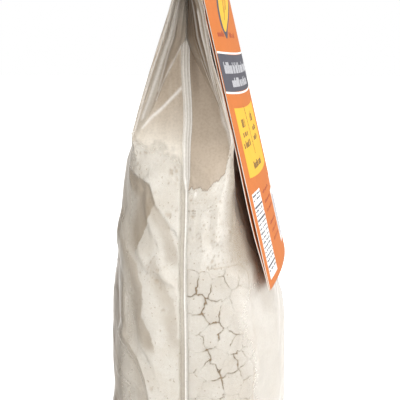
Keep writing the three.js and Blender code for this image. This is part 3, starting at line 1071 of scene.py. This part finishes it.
# Darker flour: random patches and pressed flour, plus painted shade by the card, the back edge and
# crests.
def pressed_and_painted_shade_amount(p, z):
    near = from_near_fold(p)
    place = flat_place(p, z)
    ragged_near = near + 2.6 * (fractal(place, 5, 201) - 0.5)
    ragged_z = z + 2.6 * (fractal(place, 5, 203) - 0.5)
    patches = 0.75 + 0.5 * fractal(place, 9, 207)
    total = ease(fractal(place, 33, 205), 0.52, 0.60) * 0.4 * ease(np.abs(near), 42, 52)
    # Painted shadow of the card on the bag beside it.
    painted_card_shadow = band(near, 20, 36, 60, 75) * ease(z, 90, 114)
    # Painted shade along the near back edge, where the bag turns away from the light.
    painted_back_edge_shade = ease(ragged_near, -42, -54) * ease(near, -96, -74) * ease(ragged_z, 112, 94)
    total = np.maximum(total, np.maximum(0.95 * painted_card_shadow, 0.55 * painted_back_edge_shade))
    # Pressed flour with painted shade on the unlit side of each crest.
    for strength, width, wanted_side, points in PRESSED_AND_PAINTED_SHADE:
        distance, side = line_distance(ragged_near, ragged_z, points)
        inside = ease(side * wanted_side * distance, 0.0, 0.7) * ease(distance, width, 0.45 * width)
        total = np.maximum(total, strength * inside * patches)
    return np.clip(total, 0, 1)


def crumbly_amount(p, z, level):
    """Where the flour's surface is loose and pitted: near its upper edge and in scattered places."""
    near = from_near_fold(p)
    place = flat_place(p, z)
    near_level = ease(z - level, -32, -8) * ease(fractal(place, 14, 112, 2), 0.26, 0.50)
    scattered = ease(fractal(place, 24, 111, 2), 0.55, 0.66)
    beside_crest = ease(np.hypot(near + 14, (z - 104) * 0.9), 9, 5)
    return np.clip(near_level + scattered + beside_crest, 0, 1)


def stands_back(p, z):
    """How far the flour stands back from the film beside the panels' folds."""
    corner = band(reach_of(p), 10, 30, 62, 80) * band(z, 10, 26, 132, 150)
    return corner * (1.2 + 1.4 * cloud(p, z, 40, 211, 2))


def flour_recess(p, z, level):
    """How far the flour's surface lies inside the film, and how much painted shade its hollows get."""
    place = flat_place(p, z)
    near = from_near_fold(p)
    crumbly = crumbly_amount(p, z, level)
    grain = (0.12 + 0.75 * crumbly) * (fractal(place, 2.6, GRAIN_SEED) - 0.5)
    bent_p = p + 1.2 * (noise(place, 1.5, 133) - 0.5)
    pits = np.zeros(grain.shape)
    for size, seed, depth, share in PITS:
        pits = np.maximum(pits, depth * spots(bent_p, z, size, seed, 0.02 + share * crumbly))
    pits = pits * ease(np.abs(near + 1.5), 1.6, 2.6)
    seam = (0.6 * bell(near, -1.7, 0.8) + 0.5 * bell(from_far_fold(p), -1.7, 0.7)) * ease(z, 152, 146)
    recess = FLOUR_GAP + 0.8 * pits + stands_back(p, z) + seam - grain
    at_rim = ease(z - level, -13, -5) * band(near, -1, 2, 34, 40)
    recess = mix(np.clip(recess, 0.12, None), 0.20 - 0.6 * (fractal(place, 1.8, 125) - 0.45), at_rim)
    caked, covered = crack_presence(p, z), has_plate(p, z)
    recess = recess + (CRACK_DEPTH + 0.03) * ease(caked, PLATE_LIMIT, 0.5) * covered
    # Painted shade in the pits, in the groove beside the seam and in the cracks under the plates.
    dark = 0.55 * pits + 0.35 * seam + ease(caked, 0.05, 0.4) * covered
    return recess, np.clip(dark, 0, 1)


def flour_relief(p, z):
    return plate_relief(p, z) - seam_valley(p, z)


def build_flour(material):
    p = places_round(*FLOUR_STEPS)
    level = flour_level(p)
    low_rows = np.array([0.5, 0.8, 1.3, 2.0] + heights_up(2.7, EVEN_Z, FLOUR_ROW))
    middle_share, rim_share = (np.linspace(0, 1, rows + 1)[1:, None] for rows in (BENT_ROWS, RIM_ROWS))
    even = smooth_level(p) - RIM_HEIGHT
    low = np.broadcast_to(low_rows[:, None], (len(low_rows), len(p)))
    grid_z = np.concatenate([low, mix(EVEN_Z, even, middle_share), mix(even, level, rim_share)])
    grid_p = np.broadcast_to(p, grid_z.shape)
    recess, dark = flour_recess(grid_p, grid_z, level[None, :])
    side = on_film(grid_p, grid_z, flour_relief(grid_p, grid_z) - recess)
    side[..., 2] = np.clip(side[..., 2], 0.4, None)
    rim = side[-1]
    middle = rim.mean(axis=0) + MOUND_TOP
    mound, mound_dark = [], []
    for t in np.linspace(0, 1, MOUND_ROWS + 2)[1:-1]:
        row = mix(rim, middle, t**0.8)
        row[:, 2] = mix(rim[:, 2], middle[2], smooth(t)) + 3.0 * t * (fractal(row, 12, 151) - 0.5)
        mound.append(row)
        mound_dark.append(0.15 * ease(noise(row, 2.0, 152), 0.6, 0.9))
    vertices, faces = closed_loft(np.concatenate([base_rings(side[0]), side, np.stack(mound)]))
    flour = make_object("flour", vertices, faces, "flour", material)
    below, ends = np.zeros(BASE_RINGS * len(p)), np.zeros(2)
    # Painted shade in the hollows, and random darker spots on the mound.
    add_value(flour, "crack", [below, dark.ravel(), *mound_dark, ends])
    # Pressed flour and patches, with painted shade from the card, the back edge and the crests.
    pressed = pressed_and_painted_shade_amount(grid_p, grid_z).ravel()
    add_value(flour, "pressed", [below, pressed, np.zeros(len(p) * MOUND_ROWS), ends])


# ---- The plates of caked flour ----

PLATE_SIDES = 60
PLATE_RINGS = (0.94, 0.72, 0.48, 0.24)
PLATE_EDGE = 0.22  # how far an open edge is worn down, and the first ring lies inside it
PLATE_REACH = 12.0
LEAST_REACH = 0.3
RAY_STEP = 0.8


def inside_plates(own, p, z):
    """Whether places lie inside plate number `own`, clear of the crack round it."""
    warped_p, warped_z = jagged(p, z)
    own = np.broadcast_to(own, p.shape).ravel()
    flat_p, flat_z = warped_p.ravel()[:, None], warped_z.ravel()[:, None]
    squared = round_trip(flat_p - MIDDLES[:, 0]) ** 2 + (flat_z - MIDDLES[:, 1]) ** 2
    index = np.arange(len(own))
    own_squared = squared[index, own]
    squared[index, own] = 1e9
    other = squared.argmin(axis=1)
    between = MIDDLES[own] - MIDDLES[other]
    apart = np.hypot(round_trip(between[:, 0]), between[:, 1])
    to_crack = (squared[index, other] - own_squared) / (2 * apart)
    inside = (to_crack > crack_opening(p, z).ravel()).reshape(p.shape)
    return inside & (crack_presence(p, z) > PLATE_LIMIT)


def ray_places(middle_p, middle_z, radius):
    """Places at a distance from plates' middles, along rays all round them."""
    angle = np.linspace(0, 2 * math.pi, PLATE_SIDES + 1)[:-1]
    return middle_p + radius * np.cos(angle), middle_z + radius * np.sin(angle)


def plate_outlines():
    """The numbers of the plates to build, and how far each reaches along its rays."""
    around = np.zeros(len(MIDDLES))
    for radius in (0, 4, 8):
        near_p, near_z = ray_places(MIDDLES[:, :1], MIDDLES[:, 1:], radius)
        around = np.maximum(around, crack_presence(near_p[:, ::7], near_z[:, ::7]).max(axis=1))
    chosen = np.flatnonzero(around > 2 * PLATE_LIMIT)
    middle_p, middle_z = MIDDLES[chosen, :1], MIDDLES[chosen, 1:]

    def inside_at(radius):
        return inside_plates(chosen[:, None], *ray_places(middle_p, middle_z, radius))

    reached = np.full((len(chosen), PLATE_SIDES), PLATE_REACH)
    open_ray = np.ones(reached.shape, bool)
    for radius in np.arange(1.2, PLATE_REACH, RAY_STEP):
        inside = inside_at(radius)
        reached[open_ray & ~inside] = radius
        open_ray &= inside
    low, high = reached - RAY_STEP, reached
    for _ in range(4):
        half = (low + high) / 2
        inside = inside_at(half)
        low, high = np.where(inside, half, low), np.where(inside, high, half)
    return chosen, low


def build_plates(material):
    """Each plate of caked flour, a thin slab with a jagged outline over flour with painted shade in the
    cracks.
    """
    chosen, radius = plate_outlines()
    # Rings: share, inset, sunk and darkness; the darkness of the crack's wall and worn edge is painted
    # shade.
    ring_shares = [(1.0, 0.0, CRACK_DEPTH, 1.0), (1.0, 0.0, PLATE_EDGE, 0.3)]
    ring_shares += [(share, PLATE_EDGE, 0.0, 0.0) for share in PLATE_RINGS]
    parts, dark, pressed = [], [], []
    for k, middle in enumerate(MIDDLES[chosen]):
        rows = []
        for share, inset, sunk, darkness in ring_shares:
            row_reach = np.clip(radius[k] - inset, LEAST_REACH, None) * share
            row_p, row_z = ray_places(middle[:1], middle[1:], row_reach)
            row_z = np.clip(row_z, 1.0, None)
            fine = 0.22 * (cloud(row_p, row_z, 2.6, GRAIN_SEED) - 0.5)
            caked = crack_presence(row_p, row_z)
            back = FLOUR_GAP + 0.08 + stands_back(row_p, row_z) + ease(caked, 0.30, PLATE_LIMIT)
            if sunk < CRACK_DEPTH:
                opened = ease(crack_opening(row_p, row_z), -0.03, 0.03) * ease(caked, 0.1, 0.4)
                sunk, darkness = sunk * opened, darkness * opened
            rows.append(on_film(row_p, row_z, flour_relief(row_p, row_z) - back - sunk + fine))
            dark.append(np.broadcast_to(darkness, row_p.shape))
            # Pressed flour with painted shade from the card, the back edge and the crests.
            pressed.append(pressed_and_painted_shade_amount(row_p, row_z))
        parts.append(closed_loft(np.stack(rows)))
        dark.append([1.0, 0.0])
        pressed.append([0.0, 0.0])
    plates = make_object("flour_plates", *joined(parts), "flour", material)
    add_value(plates, "crack", dark)
    add_value(plates, "pressed", pressed)


# ---- The fin seams ----

FIN_RIBS = 3
FIN_THICKNESS = 0.14


def build_fin(name, fold, material):
    """The upright welded seam in the middle of a gusset, laid flat over the film."""
    heights = np.array(heights_up(7, NECK_Z - 3, 1.1))
    share = np.linspace(0, 1, 21)
    wide = ease(heights, 143, 151)
    left, right = mix(-0.3, -1.5, wide), mix(1.2, 2.3, wide)
    across = mix(left[:, None], right[:, None], share[None, :])
    grid_z = np.broadcast_to(heights[:, None], across.shape)
    p = np.mod(fold + across, ROUND)
    along = np.stack([np.zeros(len(heights)), heights, np.full(len(heights), fold)], axis=-1)
    wave = fractal(along, 18, 161)
    lift = 0.12 + 0.65 * bell(share, 0, 0.22) + 0.16 * np.cos(2 * math.pi * FIN_RIBS * share) ** 2
    lift = lift * (0.6 + 0.9 * wave[:, None])
    points = on_film(p, grid_z, film_relief(p, grid_z) + lift)
    normals = SHEET.at(p, grid_z)[1]
    fin = make_object(name, *slab(points, normals, FIN_THICKNESS), "film", material)
    ribs = 0.5 + 0.5 * np.cos(2 * math.pi * (FIN_RIBS * share[None, :] + 0.5 * wave[:, None]))
    above = ease(grid_z, 146, 154)
    # Painted highlight along the fin's hinge ridge.
    painted_hinge_highlight = bell(share, 0.3, 0.25)
    # The tone darkens and the white fades towards the top as painted shade of the deep fold.
    values = {
        "dust": np.clip(0.32 - 0.06 * above + 0.20 * ribs + 0.38 * painted_hinge_highlight * (1 - 0.7 * above), 0, 0.95),
        "dust_and_shade_tone": 0.55 * ease(grid_z, 175, 245) * (1 - 0.3 * ribs),
        "white": (0.35 + 0.40 * ribs) * mix(1.0, 0.25, ease(grid_z, 185, 246)),
    }
    for attribute, amount in values.items():
        add_value(fin, attribute, 2 * [np.broadcast_to(amount, across.shape).ravel()])


# ---- Crumbs of flour on the film above the flour ----


CRUMB_TRIES = 700
CRUMB_CORNER = 0.62  # the cube's corners lie nearer the middle than the tips
CRUMB_SPREAD = 2.5  # most crumbs lie within this of the flour's upper edge
CRUMB_HIGHEST = 20
CLEAR_OF_FOLD = 7


def build_crumbs(material):
    """Small lumps, each a cube with a raised tip on every side, pulled out of shape."""
    rng = np.random.default_rng(17)
    corners = np.array([(x, y, z) for x in (-1, 1) for y in (-1, 1) for z in (-1, 1)]) * CRUMB_CORNER
    tips = np.array([(1, 0, 0), (-1, 0, 0), (0, 1, 0), (0, -1, 0), (0, 0, 1), (0, 0, -1)], float)
    shape = np.concatenate([corners, tips])
    squares = [(4, 5, 7, 6), (0, 2, 3, 1), (2, 6, 7, 3), (0, 1, 5, 4), (1, 3, 7, 5), (0, 4, 6, 2)]
    triangles = []
    for tip, square in enumerate(squares):
        for a, b in zip(square, square[1:] + square[:1]):
            triangles.append((8 + tip, b, a))
    parts = []
    for _ in range(CRUMB_TRIES):
        place = np.array([rng.uniform(0, ROUND)])
        height = flour_level(place) + min(rng.exponential(CRUMB_SPREAD), CRUMB_HIGHEST) - 1.0
        size = rng.uniform(0.2, 0.6)
        if abs(reach_of(place)[0] - PANEL_HALF) < CLEAR_OF_FOLD:
            continue
        out = film_relief(place, height) - 0.25 - size
        centre = on_film(place, height, out)[0]
        lump = shape * size * rng.uniform(0.6, 1.3, (len(shape), 3))
        parts.append((centre + lump, triangles))
    vertices, faces = joined(parts)
    crumbs = make_object("flour_crumbs", vertices, faces, "flour", material)
    for name in ("crack", "pressed"):
        add_value(crumbs, name, [np.zeros(len(vertices))])


# ---- The card ----

CARD_ACROSS = np.array([math.cos(CARD_TURN), -math.sin(CARD_TURN), 0.0])
CARD_OUT_LEVEL = np.array([-math.sin(CARD_TURN), -math.cos(CARD_TURN), 0.0])
CARD_OUT = CARD_OUT_LEVEL * math.cos(CARD_LEAN) + np.array([0, 0, math.sin(CARD_LEAN)])
CARD_DOWN = CARD_OUT_LEVEL * math.sin(CARD_LEAN) - np.array([0, 0, math.cos(CARD_LEAN)])


def on_card(across, drop, out):
    """Points at a place across the card, below its fold and out of its bowed face."""
    lift = out - bow_at(across)
    in_plane = CARD_TOP + across[..., None] * CARD_ACROSS + drop[..., None] * CARD_DOWN
    return in_plane + lift[..., None] * CARD_OUT


def leaf_gap(drop):
    """Between the card's two leaves: widest a little above their lower edges."""
    return mix(0.85 + 0.6 * bell(drop, 158, 22), 0.2, ease(drop, 168, CARD_LENGTH))


def card_line():
    """The board's middle line from the front leaf's lower edge, over the fold, to the back leaf's."""
    fold_radius = (CARD_THICKNESS + leaf_gap(0)) / 2
    middle = -CARD_THICKNESS / 2
    drops = np.linspace(CARD_LENGTH, fold_radius, 90)
    front = [(drop, middle) for drop in drops]
    bend = []
    for angle in np.linspace(0, math.pi, 12)[1:-1]:
        bend.append((fold_radius * (1 - math.sin(angle)), middle - fold_radius * (1 - math.cos(angle))))
    back = [(drop, 3 * middle - leaf_gap(drop)) for drop in drops[::-1]]
    return np.array(front + bend + back)


def build_card(orange, cut):
    line = card_line()
    normal = -left_of(line)
    across = np.linspace(-CARD_WIDTH / 2, CARD_WIDTH / 2, 61)
    faces_of = []
    for side in (0.5, -0.5):
        drop = line[:, 0] + side * CARD_THICKNESS * normal[:, 0]
        out = line[:, 1] + side * CARD_THICKNESS * normal[:, 1]
        grid_across, grid_drop = np.meshgrid(across, drop)
        grid_out = np.broadcast_to(out[:, None], grid_drop.shape)
        faces_of.append(on_card(grid_across, grid_drop, grid_out))
    outer, inner = faces_of
    card = make_object("hang_card", *slab(inner, outer - inner, 1.0), "card", orange, cut)
    printed_faces = 2 * (outer.shape[0] - 1) * (outer.shape[1] - 1)
    for polygon in card.data.polygons[printed_faces:]:
        polygon.use_smooth = False
        polygon.material_index = 1
    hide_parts("card")


# ---- The card's print, from fields of plain colour and simple shapes ----

PRINT_THICKNESS = 0.03
PRINT_GAP = 0.012


def field(low, high, top, bottom, layer, sag=0.0):
    """A patch of print from low to high across the card and top to bottom below its fold; sag lowers
    its middle, as on a curved band."""
    columns = max(2, int((high - low) / 2.5) + 1)
    rows = max(2, int((bottom - top) / 4) + 1)
    share, drop = np.meshgrid(np.linspace(0, 1, columns), np.linspace(top, bottom, rows))
    return print_slab(mix(low, high, share), drop + sag * (1 - (2 * share - 1) ** 2), layer)


def print_slab(across, drop, layer):
    points = on_card(across, drop, PRINT_GAP + (layer - 1) * PRINT_THICKNESS)
    return slab(points, np.broadcast_to(CARD_OUT, points.shape), PRINT_THICKNESS)


def emblem(edges, layer):
    """A patch whose sides run through (drop, left, right)."""
    drops, lefts, rights = (np.array(column) for column in zip(*edges))
    share, drop = np.meshgrid(np.linspace(0, 1, 9), np.linspace(drops[0], drops[-1], 30))
    left, right = np.interp(drop, drops, lefts), np.interp(drop, drops, rights)
    return print_slab(mix(left, right, share), drop, layer)


def letters(low, high, top, bottom, layer, seed, sag=0.0):
    """A row of upright bars in place of a line of print, some of them taller."""
    rng = np.random.default_rng(seed)
    bars = []
    x = low
    while x < high - 0.8:
        width = min(rng.uniform(1.0, 2.6), high - x)
        rise = rng.choice([0.0, 0.28, 0.28]) * (bottom - top)
        lower = sag * (1 - ((x + width / 2) / (CARD_WIDTH / 2)) ** 2)
        bars.append(field(x, x + width, top + rise + lower, bottom + lower, layer))
        x += width + rng.choice([0.45, 0.45, 0.45, 1.8])
    return bars


# Each colour of print, and how uneven it is.
PRINT_COLOURS = {
    "white": ((0.90, 0.90, 0.89), 0.02),
    "yellow": ((0.90, 0.50, 0.055), 0.02),
    "dark": ((0.098, 0.100, 0.122), 0.05),
    "grey": ((0.54, 0.55, 0.58), 0.04),
    "brown": ((0.20, 0.12, 0.045), 0.05),
    "rust": ((0.42, 0.09, 0.04), 0.05),
}
# Lines of bars on the yellow field: across from and to, and drop from and to.
YELLOW_FIELD_LINES = [
    (-27, -18.5, 109.6, 115.6), (-0.5, 8.5, 109.0, 114.6), (-29, -16, 117.2, 120.4),
    (1, 14, 117.0, 119.8), (-32, -15, 122.4, 126.0), (-2, 13, 122.0, 125.0), (-20, 6, 134.4, 138.4),
]
EMBLEM_EDGES = [
    (18, -8, 36), (35, -11, 32), (49, -16, 20), (54, -19, 10), (60, -20, -2), (64, -19, -10),
    (66, -17, -14),
]
OUTLINE_EDGES = [
    (17, -11, 39), (35, -14, 35), (49, -20, 24), (54, -23, 14), (60, -24, 2), (64, -23, -7),
    (69.5, -17, -14),
]
EMBLEM_LINES = [
    [(22, 4, 5.5), (42, 0, 1.5), (56, -9, -8)], [(22, 22, 23.5), (40, 15, 16.5), (54, -1, 0.5)],
    [(24, 12, 13), (44, 7, 8), (60, -12, -11)],
]


def print_patches():
    """The patches of each colour of print, in the order in which they are made."""
    edge = CARD_WIDTH / 2 - 1.0
    white = [field(-edge, edge, 75.6, 76.6, 1, 1.4), field(-edge, edge, 95.4, 96.4, 1, 2.4)]
    white += [field(-39.5, -20.0, 148.4, 193.2, 1), field(19.0, 41.5, 157.0, 188.0, 1)]
    white.append(field(32.0, 38.0, 150.5, 156.5, 1))
    yellow = [field(-35.5, 28.0, 104.5, 140.5, 1, 1.6), emblem(EMBLEM_EDGES, 2)]
    dark = [field(-edge, edge, 76.4, 95.6, 0.9, 1.9), emblem(OUTLINE_EDGES, 1)]
    dark += [field(-39.0, -20.5, drop, drop + 1.0, 2) for drop in (155.2, 162.0, 186.4)]
    for k, top in enumerate((149.4, 151.6, 157.2, 159.3, *(164.2 + 2.4 * np.arange(9)))):
        dark += letters(-38.6, -20.9, top, top + 1.0, 2, 40 + k)
    dark += letters(-38.6, -20.9, 188.4, 189.6, 2, 60)
    grey = letters(-37, 40, 80.6, 86.4, 2, 3, 1.6) + letters(-27, 24, 88.6, 93.4, 2, 4, 1.6)
    grey.append(field(21.0, 39.5, 160.0, 185.0, 2))
    brown = []
    for seed, (low, high, top, bottom) in enumerate(YELLOW_FIELD_LINES, 11):
        brown += letters(low, high, top, bottom, 2, seed)
    for k in range(8):
        brown.append(field(-12.2 + 0.55 * k, -11.2 + 0.55 * k, 105.6 + 3.2 * k, 109.0 + 3.2 * k, 2))
    brown += [emblem(edges, 3) for edges in EMBLEM_LINES]
    rust = letters(-35, -21, 65.8, 68.6, 1, 26) + letters(-7, 12, 66.2, 69.0, 1, 27)
    for k, top in enumerate((151.5, 157.0, 162.0, 169.5, 174.0, 178.5)):
        rust += letters(-13 + 0.8 * k, 12, top, top + 1.5, 1, 30 + k)
    return {"white": white, "yellow": yellow, "dark": dark, "grey": grey, "brown": brown, "rust": rust}


def build_prints():
    for colour, patches in print_patches().items():
        name = "print_" + colour
        material = board_material(name, *PRINT_COLOURS[colour])
        make_object(name, *joined(patches), "card", material, smooth_faces=False)


# ---- The staple ----


def build_staple(material):
    """Round wire through the card and the seal, its ends clinched behind the film."""
    crown, clinch, corner = WIRE_RADIUS, CLINCH_OUT, WIRE_CORNER
    bend_x = corner - STAPLE_HALF_WIDTH
    path = [(-1.4, clinch - 0.15), (bend_x, clinch)]
    for centre_out, start in ((clinch + corner, 270), (crown - corner, 180)):
        for k in range(7):
            angle = math.radians(start - 15 * k)
            path.append((bend_x + corner * math.cos(angle), centre_out + corner * math.sin(angle)))
    path += [(0.0, crown)]
    path += [(-x, out) for x, out in reversed(path[:-1])]
    route = np.array(path)
    angle = np.linspace(0, 2 * math.pi, 17)[:-1]
    rings = []
    for place, normal in zip(route, left_of(route)):
        ring_x, ring_out = (place[i] + WIRE_RADIUS * np.cos(angle) * normal[i] for i in (0, 1))
        ring_drop = STAPLE_DROP + WIRE_RADIUS * np.sin(angle)
        base = CARD_TOP + np.outer(ring_x, CARD_ACROSS) + np.outer(ring_drop, CARD_DOWN)
        rings.append(base + np.outer(ring_out, CARD_OUT))
    staple = make_object("staple_wire", *closed_loft(np.stack(rings)), "staple", material)
    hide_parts("staple")


# ---- Floor, light and camera ----

CAMERA_AIM = Vector((0.0, 0.0, 126.2)) * MM
CAMERA_DISTANCE = 0.4218
CAMERA_AZIMUTH = math.radians(-84.95)
CAMERA_ELEVATION = math.radians(11.19)
CAMERA_LENS = 67.5
CAMERA_SENSOR = 36
CAMERA_ASIDE = 1.63 * MM  # the bag stands a little left of the picture's middle
# Each light: place and the height it aims at in metres, size, power and colour.
LIGHTS = [
    ("key", (-0.28, -1.12, 0.42), 0.12, 1.0, 10.9, (0.975, 0.99, 1.02)),
    ("side", (-1.15, 0.0, 0.45), 0.12, 1.0, 6.2, (0.995, 0.99, 0.985)),
    ("top", (0.1, 0.1, 1.4), 0.1, 1.2, 4.0, (1.0, 0.99, 0.97)),
]
WORLD_COLOUR = (1.0, 0.945, 0.88)
WORLD_STRENGTH = 0.63
FLOOR_HALF = 6.0
FLOOR_GLOW = 0.72  # lifts the floor to the white of the studio where the camera sees it


def build_camera():
    sin, cos = math.sin(CAMERA_AZIMUTH), math.cos(CAMERA_AZIMUTH)
    level = math.cos(CAMERA_ELEVATION)
    back = Vector((sin * level, -cos * level, math.sin(CAMERA_ELEVATION)))
    right = Vector((cos, sin, 0))
    data = bpy.data.cameras.new("camera")
    data.lens = CAMERA_LENS
    data.sensor_width = CAMERA_SENSOR
    data.clip_start = 0.01
    camera = bpy.data.objects.new("camera", data)
    camera.location = CAMERA_AIM + back * CAMERA_DISTANCE
    look = CAMERA_AIM + right * CAMERA_ASIDE - camera.location
    camera.rotation_euler = look.to_track_quat("-Z", "Y").to_euler()
    bpy.context.scene.collection.objects.link(camera)
    bpy.context.scene.camera = camera


def build_studio():
    for name, place, aim_height, size, power, colour in LIGHTS:
        data = bpy.data.lights.new(name, "AREA")
        data.shape = "RECTANGLE"
        data.size, data.size_y = size, size
        data.energy = power
        data.color = colour
        light = bpy.data.objects.new(name, data)
        light.location = place
        aim = Vector((0, 0, aim_height)) - Vector(place)
        light.rotation_euler = aim.to_track_quat("-Z", "Y").to_euler()
        bpy.context.scene.collection.objects.link(light)
    shade = Shade(bpy.data.worlds.new("studio"), "OutputWorld")
    soft = shade.node("Background", Color=WORLD_COLOUR, Strength=WORLD_STRENGTH)
    white = shade.node("Background", Color=(1.0, 1.0, 1.0), Strength=1.0)
    seen = shade.node("LightPath").outputs["Is Camera Ray"]
    bpy.context.scene.world = shade.finish(shade.join("MixShader", seen, soft, white))
    bpy.context.scene.view_settings.view_transform = "Standard"


def build_floor():
    mesh = bpy.data.meshes.new("floor")
    corners = [(x * FLOOR_HALF, y * FLOOR_HALF, 0) for x, y in ((-1, -1), (1, -1), (1, 1), (-1, 1))]
    mesh.from_pydata(corners, [], [(0, 1, 2, 3)])
    floor = bpy.data.objects.new("floor", mesh)
    bpy.context.scene.collection.objects.link(floor)
    shade = new_shade("floor")
    tint = shade.blend(shade.noise(400, 2), FLOOR_LIGHT, FLOOR_DARK)
    matt = shade.node("BsdfDiffuse", Color=tint)
    glow = shade.node("Emission", Color=(1.0, 1.0, 1.0), Strength=FLOOR_GLOW)
    seen = shade.node("LightPath").outputs["Is Camera Ray"]
    bright = shade.join("AddShader", matt, glow)
    floor.data.materials.append(shade.finish(shade.join("MixShader", seen, matt, bright)))


build_camera()
build_studio()
build_floor()
flour_look = flour_material()
build_film(film_material("clear_film", 0.05, 0.36))
build_flour(flour_look)
build_plates(flour_look)
fin_look = film_material("welded_film", 0.10, 0.30)
build_fin("fin_seam_near", NEAR_FOLD, fin_look)
build_fin("fin_seam_far", FAR_FOLD, fin_look)
build_crumbs(flour_look)
build_card(board_material("card_orange", CARD_ORANGE, 0.02), board_material("card_cut_edge", CARD_CORE))
build_prints()
build_staple(wire_material())
